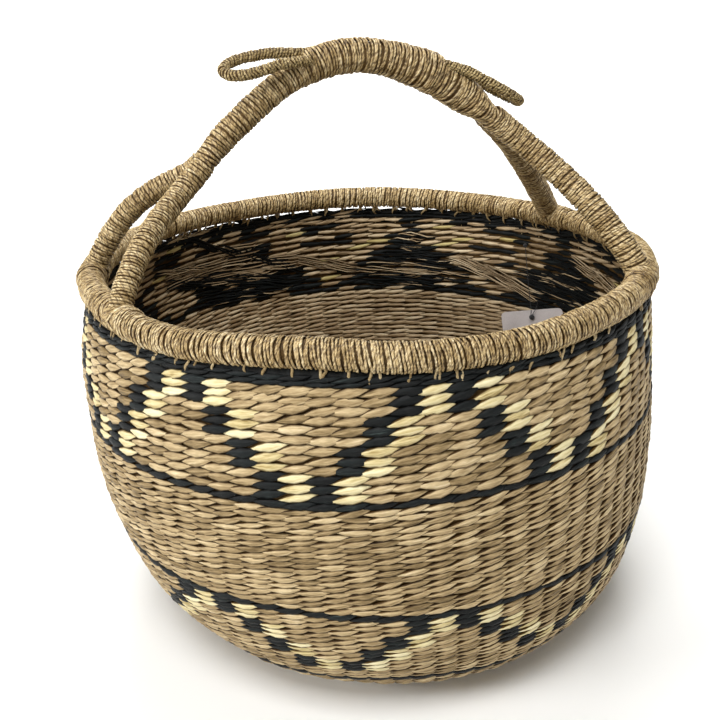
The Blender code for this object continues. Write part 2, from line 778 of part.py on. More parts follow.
def build_tag(parent, thread_black, card_grey):
    tie = tie_point()
    mesh = bpy.data.meshes.new("tag_tie_knot")
    ball = bmesh.new()
    bmesh.ops.create_uvsphere(ball, u_segments=8, v_segments=6, radius=TIE_KNOT_RADIUS)
    ball.to_mesh(mesh)
    ball.free()
    mesh.shade_smooth()
    knot = new_object("tag_tie_knot", mesh, thread_black, parent)
    knot.location = tie - parent.matrix_world.translation

    card_top = leaned(direction_at(CARD_ANGLE) * CARD_TOP_RADIUS + UP * CARD_TOP_HEIGHT)
    thread_end = card_top + UP * CARD_PIVOT_GAP
    swing = empty_at("tag_swing_pivot", tie, parent)
    line = (thread_end - tie).normalized()
    thread_start = tie + line * (TIE_KNOT_RADIUS + SEAT_GAP)
    curve = bpy.data.curves.new("tag_thread", "CURVE")
    curve.dimensions = "3D"
    curve.bevel_depth = THREAD_RADIUS
    curve.bevel_resolution = 2
    curve.use_fill_caps = True
    steps = 24
    spline = curve.splines.new("POLY")
    spline.points.add(steps)
    for index in range(steps + 1):
        place = thread_start.lerp(thread_end, index / steps) - tie
        spline.points[index].co = (*place, 1.0)
    thread = bpy.data.objects.new("tag_thread", curve)
    curve.materials.append(thread_black)
    bpy.context.scene.collection.objects.link(thread)
    thread.parent = swing

    pivot = card_top + UP * CARD_PIVOT_GAP / 2
    flap = empty_at("card_flap_pivot", pivot, swing)
    build_card(card_top, flap, card_grey)
    print("tie", [round(value, 5) for value in tie], "card pivot", [round(value, 5) for value in pivot])
    print("thread length", round((thread_end - thread_start).length, 5))


def build_card(card_top, parent, material):
    """A blank card with rounded corners and a hole for its thread."""
    level = Vector((math.cos(CARD_HEADING), math.sin(CARD_HEADING), 0.0))
    normal = UP.cross(level)
    width = level * math.cos(CARD_TILT) + UP * math.sin(CARD_TILT)
    upright = UP * math.cos(CARD_TILT) - level * math.sin(CARD_TILT)
    rise = upright * math.cos(CARD_LEAN) + normal * math.sin(CARD_LEAN)
    face = normal * math.cos(CARD_LEAN) - upright * math.sin(CARD_LEAN)
    edge = []
    half, corner = CARD_WIDTH / 2, CARD_CORNER
    corners = ((half, 0.0, 0.0), (-half, 0.0, 90.0), (-half, -CARD_LENGTH, 180.0), (half, -CARD_LENGTH, 270.0))
    for across, down, start in corners:
        centre_x = across - math.copysign(corner, across)
        centre_z = down - corner if down == 0.0 else down + corner
        for part in range(4):
            turn = math.radians(start + 30.0 * part)
            edge.append((centre_x + corner * math.cos(turn), centre_z + corner * math.sin(turn)))
    hole = []
    for index in range(16):
        turn = 2 * math.pi * index / 16
        hole.append((CARD_HOLE_RADIUS * math.cos(turn), CARD_HOLE_RADIUS * math.sin(turn) - CARD_HOLE_DROP))
    points, faces = [], []
    for depth in (-CARD_THICKNESS / 2, CARD_THICKNESS / 2):
        for ring in (edge, hole):
            points.extend(card_top + width * x + rise * z + face * depth for x, z in ring)
    count = len(edge)
    for layer in (0, 2 * count):
        for index in range(count):
            after = (index + 1) % count
            faces.append([layer + index, layer + after, layer + count + after, layer + count + index])
    for ring in (0, count):
        for index in range(count):
            after = (index + 1) % count
            low, high = ring, 2 * count + ring
            faces.append([low + index, low + after, high + after, high + index])
    return solid_from("tag_card", points, faces, material, parent,
                      origin=parent.matrix_world.translation.copy())


# Assembly

def centre_on_origin(frame):
    """Moves the whole basket so that the middle of its box stands on the origin."""
    bpy.context.view_layer.update()
    graph = bpy.context.evaluated_depsgraph_get()
    lows, highs = [], []
    for piece in bpy.data.objects:
        if piece.type not in {"MESH", "CURVE"} or piece.hide_render or piece.name.startswith("tag_"):
            continue
        evaluated = piece.evaluated_get(graph)
        mesh = evaluated.to_mesh()
        places = [piece.matrix_world @ vertex.co for vertex in mesh.vertices]
        lows.append([min(place[axis] for place in places) for axis in range(3)])
        highs.append([max(place[axis] for place in places) for axis in range(3)])
        evaluated.to_mesh_clear()
    low = [min(values) for values in zip(*lows)]
    high = [max(values) for values in zip(*highs)]
    frame.location = (-(low[0] + high[0]) / 2, -(low[1] + high[1]) / 2, -low[2])
    print("basket frame moved to", [round(value, 6) for value in frame.location])


def build_basket():
    clear_objects()
    straw = make_material("dried veta vera straw", (0.48, 0.36, 0.20), 0.62)
    rim_straw = make_material("twisted straw winding", (0.56, 0.43, 0.23), 0.55)
    cream = make_material("bleached straw", (0.66, 0.56, 0.34), 0.58)
    dark = make_material("black dyed straw", (0.018, 0.022, 0.022), 0.50)
    thread_black = make_material("black cotton thread", (0.02, 0.02, 0.02), 0.80)
    card_grey = make_material("pale paper card", (0.62, 0.60, 0.60), 0.75)
    frame = empty_at("basket_frame", Vector((0.0, 0.0, 0.0)), None)
    build_weft(frame, straw, dark, cream)
    build_stakes(frame, straw)
    build_rim(frame, straw, rim_straw)
    build_handle(frame, straw, rim_straw)
    build_tag(frame, thread_black, card_grey)
    centre_on_origin(frame)


build_basket()
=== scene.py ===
import json
import math
import random
import bmesh
import bpy
import numpy
from mathutils import Matrix, Vector

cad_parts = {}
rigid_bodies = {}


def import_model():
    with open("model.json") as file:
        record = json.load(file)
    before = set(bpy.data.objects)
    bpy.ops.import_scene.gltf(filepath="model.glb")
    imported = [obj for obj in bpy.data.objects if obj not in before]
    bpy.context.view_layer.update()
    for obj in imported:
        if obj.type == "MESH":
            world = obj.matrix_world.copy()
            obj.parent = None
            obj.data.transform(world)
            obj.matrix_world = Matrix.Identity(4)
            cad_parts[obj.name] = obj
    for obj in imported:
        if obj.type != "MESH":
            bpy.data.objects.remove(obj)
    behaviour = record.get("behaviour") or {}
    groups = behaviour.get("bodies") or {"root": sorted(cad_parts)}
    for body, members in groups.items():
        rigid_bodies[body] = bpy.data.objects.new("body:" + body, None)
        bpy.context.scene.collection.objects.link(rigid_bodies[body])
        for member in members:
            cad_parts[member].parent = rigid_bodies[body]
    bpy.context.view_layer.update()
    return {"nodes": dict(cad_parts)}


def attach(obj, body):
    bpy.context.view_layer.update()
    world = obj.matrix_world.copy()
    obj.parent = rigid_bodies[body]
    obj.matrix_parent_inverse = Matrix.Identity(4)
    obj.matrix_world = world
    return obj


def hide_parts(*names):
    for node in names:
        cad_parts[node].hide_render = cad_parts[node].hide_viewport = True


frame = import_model()
scene = bpy.context.scene
up = Vector((0.0, 0.0, 1.0))

# Small helpers for colours, nodes and curves


def linearColour(code):
    channels = [int(code[place:place + 2], 16) / 255 for place in (1, 3, 5)]
    return (*[c / 12.92 if c <= 0.04045 else ((c + 0.055) / 1.055) ** 2.4 for c in channels], 1.0)


def addNode(tree, kind, settings=None, links=None):
    node = tree.nodes.new(kind)
    for name, value in (settings or {}).items():
        setattr(node, name, value)
    for socket, value in (links or {}).items():
        if isinstance(value, bpy.types.NodeSocket):
            tree.links.new(value, node.inputs[socket])
        else:
            node.inputs[socket].default_value = value
    return node


def splinePoint(knots, place):
    index = min(max(int(place), 0), len(knots) - 2)
    part = place - index
    before = knots[index - 1] if index > 0 else 2 * knots[0] - knots[1]
    after = knots[index + 2] if index + 2 < len(knots) else 2 * knots[-1] - knots[-2]
    start, end = knots[index], knots[index + 1]
    return 0.5 * (2 * start + (end - before) * part
                  + (2 * before - 5 * start + 4 * end - after) * part ** 2
                  + (3 * start - before - 3 * end + after) * part ** 3)


def smoothStep(share):
    share = min(max(share, 0.0), 1.0)
    return share * share * (3 - 2 * share)


# The bowl: its outline from the foot up as shares of height and radius, and how it leans

bowl = {
    "widestRadius": 0.209,
    "wallTop": 0.2590,
    "outline": ((0.0, 0.655), (0.038, 0.722), (0.1, 0.821), (0.2, 0.904), (0.35, 0.965),
                (0.5, 0.990), (0.7, 1.0), (0.86, 0.992), (1.0, 0.966)),
    "footShift": 0.0259,
    "bellyShift": 0.0087,
    "middleX": 0.000159,      # the CAD puts the middle of its box on the origin
    "stakes": 80,
    "firstStake": -12.0,      # degrees from the front, towards the right
    "wanderOut": 0.0008,      # how far hand weaving strays from the round
    "wanderUp": 0.0013,
}


def traceOutline():
    wide, tall = bowl["widestRadius"], bowl["wallTop"]
    corners = [Vector((share * wide, level * tall)) for level, share in bowl["outline"]]
    knots = [Vector((corners[0].x - 0.015, 0.0))] + corners
    line = [Vector((corners[0].x * step / 20, 0.0)) for step in range(20)]
    line += [splinePoint(knots, 1 + step / 12) for step in range(12 * (len(corners) - 1) + 1)]
    lengths = [0.0]
    for low, high in zip(line, line[1:]):
        lengths.append(lengths[-1] + (high - low).length)
    return numpy.array([p.x for p in line]), numpy.array([p.y for p in line]), numpy.array(lengths)


outlineRadii, outlineHeights, outlineLengths = traceOutline()


def lengthAtHeight(height):
    return float(numpy.interp(height, outlineHeights[20:], outlineLengths[20:]))


def directionAt(angle):
    return Vector((math.sin(angle), -math.cos(angle), 0.0))


def leaned(point):
    share = max(0.0, 1.0 - point.z / bowl["wallTop"])
    shift = bowl["footShift"] * share ** 2 - bowl["bellyShift"] * share + bowl["middleX"]
    return Vector((point.x + shift, point.y, point.z))


def wallSpot(angle, along, depth):
    # Place on the wall, with the directions round it, up it and out of it
    angleOff, height = angle, float(numpy.interp(along, outlineLengths, outlineHeights))
    free = smoothStep((height - 0.004) / 0.03) * (1 - smoothStep((height - 0.235) / 0.02))
    along += free * bowl["wanderUp"] * (math.sin(2 * angleOff + 0.7 + 31 * height)
                                        + 0.6 * math.sin(5 * angleOff + 2.1 - 47 * height))
    depth -= free * bowl["wanderOut"] * (math.sin(3 * angleOff + 1.1 + 25 * height)
                                         + 0.6 * math.sin(8 * angleOff + 0.4 - 60 * height))
    radius = float(numpy.interp(along, outlineLengths, outlineRadii))
    height = float(numpy.interp(along, outlineLengths, outlineHeights))
    low, high = along - 0.003, along + 0.003
    run = float(numpy.interp(high, outlineLengths, outlineRadii) - numpy.interp(low, outlineLengths, outlineRadii))
    rise = float(numpy.interp(high, outlineLengths, outlineHeights) - numpy.interp(low, outlineLengths, outlineHeights))
    size = math.hypot(run, rise)
    run, rise = run / size, rise / size
    outwards = directionAt(angle)
    normal = outwards * rise - up * run
    climb = outwards * run + up * rise
    around = Vector((math.cos(angle), math.sin(angle), 0.0))
    point = leaned(outwards * (radius - depth * rise) + up * (height + depth * run))
    return point, around, climb, normal


# Geometry Nodes: one tree lays any of a few shapes on spots, turned and sized by attributes


def makeLayingTree():
    tree = bpy.data.node_groups.new("lay straw shapes", "GeometryNodeTree")
    wanted = (("Spots", "Geometry"), ("Shapes", "Collection"), ("Shape count", "Int"), ("Turn spread", "Float"),
              ("Size spread", "Float"), ("Seed", "Int"), ("Finish", "Material"))
    for name, kind in wanted:
        tree.interface.new_socket(name=name, in_out="INPUT", socket_type="NodeSocket" + kind)
    tree.interface.new_socket(name="Laid", in_out="OUTPUT", socket_type="NodeSocketGeometry")
    given = addNode(tree, "NodeGroupInput").outputs
    seeds = [addNode(tree, "ShaderNodeMath", {"operation": "ADD"}, {0: given["Seed"], 1: float(step)}).outputs[0]
             for step in range(5)]
    turn = addNode(tree, "GeometryNodeInputNamedAttribute", {"data_type": "FLOAT_VECTOR"}, {"Name": "turn"})
    size = addNode(tree, "GeometryNodeInputNamedAttribute", {"data_type": "FLOAT_VECTOR"}, {"Name": "size"})
    pick = addNode(tree, "FunctionNodeRandomValue", {"data_type": "FLOAT"}, {"Seed": seeds[0]})
    choice = addNode(tree, "ShaderNodeMath", {"operation": "MULTIPLY"}, {0: pick.outputs[1], 1: given["Shape count"]})
    whole = addNode(tree, "ShaderNodeMath", {"operation": "FLOOR"}, {0: choice.outputs[0]})
    wobble = addNode(tree, "FunctionNodeRandomValue", {"data_type": "FLOAT_VECTOR"},
                     {0: (-1.0, -1.0, -1.0), 1: (1.0, 1.0, 1.0), "Seed": seeds[1]})
    wobbled = addNode(tree, "ShaderNodeVectorMath", {"operation": "SCALE"},
                      {0: wobble.outputs[0], "Scale": given["Turn spread"]})
    turned = addNode(tree, "ShaderNodeVectorMath", {"operation": "ADD"},
                     {0: turn.outputs["Attribute"], 1: wobbled.outputs[0]})
    rotation = addNode(tree, "FunctionNodeEulerToRotation", links={0: turned.outputs[0]})
    swell = addNode(tree, "FunctionNodeRandomValue", {"data_type": "FLOAT"}, {2: -1.0, 3: 1.0, "Seed": seeds[2]})
    share = addNode(tree, "ShaderNodeMath", {"operation": "MULTIPLY_ADD"},
                    {0: swell.outputs[1], 1: given["Size spread"], 2: 1.0})
    scaled = addNode(tree, "ShaderNodeVectorMath", {"operation": "SCALE"},
                     {0: size.outputs["Attribute"], "Scale": share.outputs[0]})
    shapes = addNode(tree, "GeometryNodeCollectionInfo", links={"Collection": given["Shapes"],
                     "Separate Children": True, "Reset Children": True})
    laid = addNode(tree, "GeometryNodeInstanceOnPoints", links={
        "Points": given["Spots"], "Instance": shapes.outputs[0], "Pick Instance": True,
        "Instance Index": whole.outputs[0], "Rotation": rotation.outputs[0], "Scale": scaled.outputs[0]})
    flow = laid.outputs[0]
    for name, seed in (("tone", seeds[3]), ("strand", seeds[4])):
        chance = addNode(tree, "FunctionNodeRandomValue", {"data_type": "FLOAT"}, {"Seed": seed})
        stored = addNode(tree, "GeometryNodeStoreNamedAttribute", {"data_type": "FLOAT", "domain": "INSTANCE"},
                         {"Geometry": flow, "Name": name, "Value": chance.outputs[1]})
        flow = stored.outputs[0]
    flow = addNode(tree, "GeometryNodeRealizeInstances", links={0: flow}).outputs[0]
    for name in ("turn", "size"):
        flow = addNode(tree, "GeometryNodeRemoveAttribute", links={"Geometry": flow, "Name": name}).outputs[0]
    flow = addNode(tree, "GeometryNodeSetShadeSmooth", links={0: flow}).outputs[0]
    finished = addNode(tree, "GeometryNodeSetMaterial", links={"Geometry": flow, "Material": given["Finish"]})
    addNode(tree, "NodeGroupOutput", links={0: finished.outputs[0]})
    return tree


layingTree = makeLayingTree()


def layShapes(name, spots, shapes, finish, seed, turnSpread=0.035, sizeSpread=0.05):
    # spots: (place, three axes, size, dye), where dye is 0 natural, 1 bleached, 2 black
    cloud = bpy.data.meshes.new(name)
    cloud.from_pydata([spot[0] for spot in spots], [], [])
    turns = [Matrix(spot[1]).transposed().to_euler() for spot in spots]
    for label, rows in (("turn", turns), ("size", [spot[2] for spot in spots])):
        layer = cloud.attributes.new(label, "FLOAT_VECTOR", "POINT")
        layer.data.foreach_set("vector", [value for row in rows for value in row])
    layer = cloud.attributes.new("dye", "FLOAT", "POINT")
    layer.data.foreach_set("value", [float(spot[3]) for spot in spots])
    piece = bpy.data.objects.new(name, cloud)
    scene.collection.objects.link(piece)
    laying = piece.modifiers.new("lay", "NODES")
    laying.node_group = layingTree
    values = {"Shapes": shapes, "Shape count": len(shapes.objects), "Turn spread": turnSpread,
              "Size spread": sizeSpread, "Seed": seed, "Finish": finish}
    for item in layingTree.interface.items_tree:
        if item.name in values:
            laying[item.identifier] = values[item.name]
    graph = bpy.context.evaluated_depsgraph_get()
    result = bpy.data.meshes.new_from_object(piece.evaluated_get(graph), preserve_all_data_layers=True, depsgraph=graph)
    piece.modifiers.clear()
    piece.data = result
    result.name = name
    bpy.data.meshes.remove(cloud)
    return piece


def shapeSet(name, meshes):
    holder = bpy.data.collections.new(name)
    for order, mesh in enumerate(meshes):
        holder.objects.link(bpy.data.objects.new(f"{name}{order}", mesh))
    return holder


def skinRings(name, rings, uvRows, closed):
    # Joins rings of points into a tube with a "straw" UV map: u along it and v round it
    build = bmesh.new()
    layer = build.loops.layers.uv.new("straw")
    rows = [[build.verts.new(point) for point in ring] for ring in rings]
    count = len(rows[0])
    if closed:
        rows.append(rows[0])
    for order, (low, high) in enumerate(zip(rows, rows[1:])):
        for side in range(count):
            after = (side + 1) % count
            face = build.faces.new((low[side], low[after], high[after], high[side]))
            edge, start, end = (side + count // 2) % count / count, uvRows[order], uvRows[order + 1]
            corners = ((start, edge), (start, edge + 1 / count), (end, edge + 1 / count), (end, edge))
            for loop, corner in zip(face.loops, corners):
                loop[layer].uv = corner
    if not closed:
        for ring, tip, share in ((rows[0], 0, uvRows[0]), (rows[-1], -1, uvRows[-1])):
            middle = sum((vertex.co for vertex in ring), Vector()) / count
            reach = (middle - sum((vertex.co for vertex in rows[1 if tip == 0 else -2]), Vector()) / count) * 0.5
            point = build.verts.new(middle + reach)
            for side in range(count):
                face = build.faces.new((ring[side], ring[(side + 1) % count], point))
                for loop in face.loops:
                    loop[layer].uv = (share, (side + count // 2) % count / count)
    bmesh.ops.recalc_face_normals(build, faces=build.faces)
    mesh = bpy.data.meshes.new(name)
    build.to_mesh(mesh)
    build.free()
    mesh.shade_smooth()
    return mesh


# Finishes. Straw is drawn from its own UV map, so each strand keeps its fibres when it turns


def strawFinish(name, look):
    finish = bpy.data.materials.new(name)
    finish.use_nodes = True
    tree = finish.node_tree
    shader = tree.nodes["Principled BSDF"]
    tone, strand, dye = [addNode(tree, "ShaderNodeAttribute", {"attribute_name": label}).outputs["Fac"]
                         for label in ("tone", "strand", "dye")]
    uv = addNode(tree, "ShaderNodeUVMap", {"uv_map": "straw"})
    split = addNode(tree, "ShaderNodeSeparateXYZ", links={0: uv.outputs[0]})
    along = addNode(tree, "ShaderNodeMath", {"operation": "MULTIPLY"}, {0: split.outputs[0], 1: look["fibreAlong"]})
    # Where two plies are twisted together, their fibres wind along the strand
    twisted = addNode(tree, "ShaderNodeMath", {"operation": "MULTIPLY_ADD"},
                      {0: split.outputs[0], 1: look.get("plies", 0.0), 2: split.outputs[1]})
    across = addNode(tree, "ShaderNodeMath", {"operation": "MULTIPLY"}, {0: twisted.outputs[0], 1: look["fibreAcross"]})
    apart = addNode(tree, "ShaderNodeMath", {"operation": "MULTIPLY"}, {0: strand, 1: 173.0})
    lane = addNode(tree, "ShaderNodeCombineXYZ", links={0: along.outputs[0], 1: across.outputs[0], 2: apart.outputs[0]})
    fibre = addNode(tree, "ShaderNodeTexNoise", links={"Vector": lane.outputs[0], "Scale": 1.0, "Detail": 3.0,
                    "Roughness": 0.62})
    fibreWide = addNode(tree, "ShaderNodeMapRange", links={0: fibre.outputs[0], 1: 0.28, 2: 0.72})
    place = addNode(tree, "ShaderNodeTexCoord")
    blotch = addNode(tree, "ShaderNodeTexNoise", links={"Vector": place.outputs["Object"], "Scale": look["blotches"],
                     "Detail": 2.0})
    mixed = addNode(tree, "ShaderNodeMath", {"operation": "MULTIPLY_ADD"},
                    {0: fibreWide.outputs[0], 1: look["fibreShare"], 2: 0.0})
    mixed = addNode(tree, "ShaderNodeMath", {"operation": "MULTIPLY_ADD"},
                    {0: tone, 1: look["toneShare"], 2: mixed.outputs[0]})
    mixed = addNode(tree, "ShaderNodeMath", {"operation": "MULTIPLY_ADD"},
                    {0: blotch.outputs[0], 1: 1 - look["fibreShare"] - look["toneShare"], 2: mixed.outputs[0]})
    colour = None
    for order, key in enumerate(("natural", "bleached", "black")):
        if key not in look:
            continue
        ramp = addNode(tree, "ShaderNodeValToRGB", links={0: mixed.outputs[0]})
        stops = look[key]
        ramp.color_ramp.elements[0].position = stops[0][0]
        ramp.color_ramp.elements[0].color = linearColour(stops[0][1])
        ramp.color_ramp.elements[1].position = stops[-1][0]
        ramp.color_ramp.elements[1].color = linearColour(stops[-1][1])
        for position, code in stops[1:-1]:
            ramp.color_ramp.elements.new(position).color = linearColour(code)
        if colour is None:
            colour = ramp.outputs[0]
            continue
        reached = addNode(tree, "ShaderNodeMath", {"operation": "GREATER_THAN"}, {0: dye, 1: order - 0.5})
        colour = addNode(tree, "ShaderNodeMix", {"data_type": "RGBA"},
                         {0: reached.outputs[0], 6: colour, 7: ramp.outputs[0]}).outputs[2]
    # Painted shade: the edges and tips of each strand, where it dives under its neighbours, are darkened towards a
    # brown tint
    shade = None
    for source, low, high in ((split.outputs[1], *look["edgeShade"]), (split.outputs[0], *look["tipShade"])):
        offMiddle = addNode(tree, "ShaderNodeMath", {"operation": "SUBTRACT"}, {0: source, 1: 0.5})
        distance = addNode(tree, "ShaderNodeMath", {"operation": "ABSOLUTE"}, {0: offMiddle.outputs[0]})
        part = addNode(tree, "ShaderNodeMapRange", links={0: distance.outputs[0], 1: low, 2: high, 3: 1.0,
                       4: look["shadeDepth"]})
        shade = part.outputs[0] if shade is None else addNode(
            tree, "ShaderNodeMath", {"operation": "MULTIPLY"}, {0: shade, 1: part.outputs[0]}).outputs[0]
    relief = fibreWide.outputs[0]
    # Painted shade in the grooves between plies: a spiral of darker bands along each wound strand, which also feeds the
    # bump
    if "plies" in look:
        spiral = addNode(tree, "ShaderNodeMath", {"operation": "ADD"}, {0: twisted.outputs[0], 1: strand})
        angle = addNode(tree, "ShaderNodeMath", {"operation": "MULTIPLY"}, {0: spiral.outputs[0], 1: 2 * math.pi})
        wave = addNode(tree, "ShaderNodeMath", {"operation": "SINE"}, {0: angle.outputs[0]})
        ply = addNode(tree, "ShaderNodeMapRange", links={0: wave.outputs[0], 1: -0.95, 2: -0.35, 3: look["plyShadeDepth"], 4: 1.0})
        shade = addNode(tree, "ShaderNodeMath", {"operation": "MULTIPLY"}, {0: shade, 1: ply.outputs[0]}).outputs[0]
        relief = addNode(tree, "ShaderNodeMath", {"operation": "MULTIPLY_ADD"},
                         {0: fibreWide.outputs[0], 1: 0.4, 2: ply.outputs[0]}).outputs[0]
    # Painted shade on the sides of each wound strand, where it faces away from the outside of its bundle; its crest
    # stays clear
    if "sideShade" in look:
        facing = addNode(tree, "ShaderNodeAttribute", {"attribute_name": "facing"})
        crest = addNode(tree, "ShaderNodeMapRange", links={0: facing.outputs["Fac"], 1: look["sideShade"][0],
                        2: look["sideShade"][1]})
        shade = addNode(tree, "ShaderNodeMath", {"operation": "MULTIPLY"}, {0: shade, 1: crest.outputs[0]}).outputs[0]
    # The painted shade is mixed from the shade tint to white and multiplied into the colour
    paintedShadeVeil = addNode(tree, "ShaderNodeMix", {"data_type": "RGBA"},
                   {0: shade, 6: linearColour(look["shadeTint"]), 7: (1.0, 1.0, 1.0, 1.0)})
    paintedShadeColour = addNode(tree, "ShaderNodeMix", {"data_type": "RGBA", "blend_type": "MULTIPLY"},
                    {0: 1.0, 6: colour, 7: paintedShadeVeil.outputs[2]})
    tree.links.new(paintedShadeColour.outputs[2], shader.inputs["Base Color"])
    rough = addNode(tree, "ShaderNodeMapRange", links={0: fibreWide.outputs[0], 3: look["roughness"][0],
                    4: look["roughness"][1]})
    tree.links.new(rough.outputs[0], shader.inputs["Roughness"])
    bump = addNode(tree, "ShaderNodeBump", links={"Height": relief, "Strength": look["bump"],
                   "Distance": 0.0004})
    tree.links.new(bump.outputs[0], shader.inputs["Normal"])
    shader.inputs["IOR"].default_value = 1.50
    shader.inputs["Specular IOR Level"].default_value = look.get("specular", 0.4)
    return finish


# Elephant grass split, twisted by hand and dried: dull, with fine fibres along each strand
wovenLook = {
    "fibreAlong": 2.4, "fibreAcross": 12.0, "blotches": 60.0, "fibreShare": 0.44, "toneShare": 0.34,
    "natural": ((0.12, "#4f3d20"), (0.34, "#85704c"), (0.52, "#a9926b"), (0.70, "#c6b087"), (0.90, "#e2d0ab")),
    "bleached": ((0.12, "#907842"), (0.36, "#c9b784"), (0.60, "#e0d3a6"), (0.90, "#f0e7c6")),
    "black": ((0.15, "#020303"), (0.50, "#090d0d"), (0.74, "#131a1a"), (0.95, "#3d4744")),
    # The edge and tip settings and the shade tint paint shade on the edges and tips of each stitch
    "edgeShade": (0.110, 0.166), "tipShade": (0.38, 0.49), "shadeDepth": 0.0, "shadeTint": "#64502e",
    "roughness": (0.48, 0.68), "bump": 0.6, "specular": 0.22,
}
strawWoven = strawFinish("twisted elephant grass, dyed and natural", wovenLook)
# Painted light: a copy of the same grass for the inside, with a paler, less saturated natural ramp to make up for the
# dimmer light inside the bowl, and a darker bleached ramp
strawInnerPaintedLight = strawFinish("twisted elephant grass inside, paler as painted light", dict(wovenLook, **{
    "natural": ((0.12, "#584630"), (0.34, "#98805f"), (0.52, "#c0a884"), (0.70, "#dac6a3"), (0.90, "#f0e2c4")),
    "bleached": ((0.12, "#84703f"), (0.36, "#b5a266"), (0.60, "#cfbf84"), (0.90, "#e8dcac")),
}))
# The same grass wound wet and tight round a bundle, so it dries smooth, golden and a little glossy
windingLook = {
    "fibreAlong": 12.0, "fibreAcross": 5.0, "blotches": 40.0, "fibreShare": 0.46, "toneShare": 0.24,
    "natural": ((0.14, "#563d1c"), (0.34, "#8f7547"), (0.50, "#b69c6c"), (0.66, "#d6c093"), (0.84, "#f3e5c0")),
    "edgeShade": (0.8, 0.9), "tipShade": (0.8, 0.9), "shadeDepth": 1.0, "shadeTint": "#6b5430",
    # Edge and tip shade are off here; the ply and side settings paint shade in the grooves between plies and on the
    # sides of each turn
    "plies": 12, "plyShadeDepth": 0.35, "sideShade": (0.05, 0.66),
    "roughness": (0.36, 0.56), "bump": 0.9, "specular": 0.42,
}
strawWound = strawFinish("elephant grass winding, golden", windingLook)
strawLashed = strawFinish("elephant grass lashing, golden", dict(windingLook, sideShade=(-1.0, -0.5)))
strawLoop = strawFinish("elephant grass winding, greenish", dict(windingLook, **{
    "natural": ((0.14, "#544320"), (0.34, "#8c7546"), (0.52, "#af9865"), (0.70, "#cab585"), (0.90, "#e4d4a9")),
}))
print("finishes made")


# Woven wall: one lens-shaped stitch for each stake in each row, pointed ends under its neighbours

stitch = {
    "length": 0.0240,
    "height": 0.0060,
    "thickness": 0.0026,
    "dive": 0.0026,          # how far its ends go into the wall
    "twist": 34.0,           # turn of the strand from end to end, degrees
    "climb": 0.0007,         # its ends run level, its middle climbs
    "sway": 0.0003,
    "lumps": 0.05,
    "pointed": 1.25,         # power of its outline: more is a sharper leaf
    "shapes": 8,
    "pitchesLong": 1.72,     # its length in stake pitches
    "rowsHigh": 1.25,        # its height in row pitches
    "innerPitchesLong": 2.15,
    "innerRowsHigh": 1.05,
    "innerHighest": 0.0044,
    "slant": 7.0,            # it climbs to the right, degrees
    "innerSlant": 4.0,
    "depth": 0.0013,         # its middle, inside the wall's outside
    "innerDepth": 0.0058,
}


def stitchMesh(name, chance, sides, stations, size):
    rings = []
    lean = chance.uniform(-0.06, 0.06)
    for u in stations:
        swell = math.sin(math.pi * u ** (1 + lean))
        half = size["height"] / 2 * swell ** size["pointed"] * chance.uniform(1 - size["lumps"], 1 + size["lumps"])
        deep = size["thickness"] / 2 * swell ** 0.6 * chance.uniform(1 - size["lumps"], 1 + size["lumps"])
        turn = Matrix.Rotation(math.radians(size["twist"]) * (1 - 2 * u), 3, "X")
        rise = size["climb"] * (-math.cos(math.pi * u)) + size["sway"] * math.sin(2 * math.pi * u + 5 * lean)
        middle = Vector(((u - 0.5) * size["length"], size["dive"] * (1 - swell ** 0.7), rise))
        angles = [2 * math.pi * side / sides for side in range(sides)]
        rings.append([middle + turn @ Vector((0.0, -math.cos(a) * deep, math.sin(a) * half)) for a in angles])
    return skinRings(name, rings, stations, False)


chance = random.Random(11)
stitchStations = (0.03, 0.14, 0.30, 0.50, 0.70, 0.86, 0.97)
stitchShapes = shapeSet("stitch", [stitchMesh(f"stitch{k}", chance, 6, stitchStations, stitch)
                                   for k in range(stitch["shapes"])])

# Rows of weft from the middle of the base to the rim: name, lower edge, rows. Edges under zero
# height are radii of the flat base.
bands = {
    "base_weave": {"from": ("radius", 0.022), "to": ("height", 0.0315), "rows": 32},
    "base_dark_round": {"from": ("height", 0.0315), "to": ("height", 0.0365), "rows": 1},
    "lower_pattern_band": {"from": ("height", 0.0365), "to": ("height", 0.0987), "rows": 15},
    "lower_dark_round": {"from": ("height", 0.0987), "to": ("height", 0.1033), "rows": 1},
    "plain_middle_band": {"from": ("height", 0.1033), "to": ("height", 0.1790), "rows": 18},
    "upper_dark_round": {"from": ("height", 0.1790), "to": ("height", 0.1836), "rows": 1},
    "upper_pattern_band": {"from": ("height", 0.1836), "to": ("height", 0.2526), "rows": 12},
    "top_dark_rounds": {"from": ("height", 0.2526), "to": ("height", 0.2596), "rows": 2},
}


def columnOffset(column):
    return (column + 5) % 10 - 5


def zigzagDye(group, column):
    # Four groups of rows climb one column each; a bleached stitch stands right of each black one
    if abs(columnOffset(column)) == group + 1:
        return 2
    if abs(columnOffset(column - 1)) == group + 1:
        return 1
    return 0


def outerDye(band, row, rows, column):
    if band.endswith("round") or band.endswith("rounds"):
        return 2
    if band == "upper_pattern_band":
        return zigzagDye(row // 3, column)
    if band == "lower_pattern_band" and rows - row <= 12:
        return zigzagDye(3 - (rows - row - 1) // 3, column)
    return 0


def innerDye(band, row, rows, column, draw):
    if band.endswith("round") or band.endswith("rounds"):
        return 2 if draw < 0.9 else 0
    if not (band == "upper_pattern_band" or band == "lower_pattern_band" and rows - row <= 12):
        return 0
    # Behind the zigzag the black strands are carried along in triangles that point up
    level = (row - rows + 12) / 3
    offset = abs(columnOffset(column))
    if offset < 4.3 - 1.15 * level:
        return 2 if draw < 0.90 else 0
    if level > 2.2 and offset > 3:
        return 2 if draw < 0.50 else (1 if draw < 0.58 else 0)
    return 2 if draw < 0.09 else (1 if draw < 0.16 else 0)


def bandEnds(band):
    ends = []
    for kind, value in (band["from"], band["to"]):
        ends.append(value if kind == "radius" else lengthAtHeight(value))
    return ends


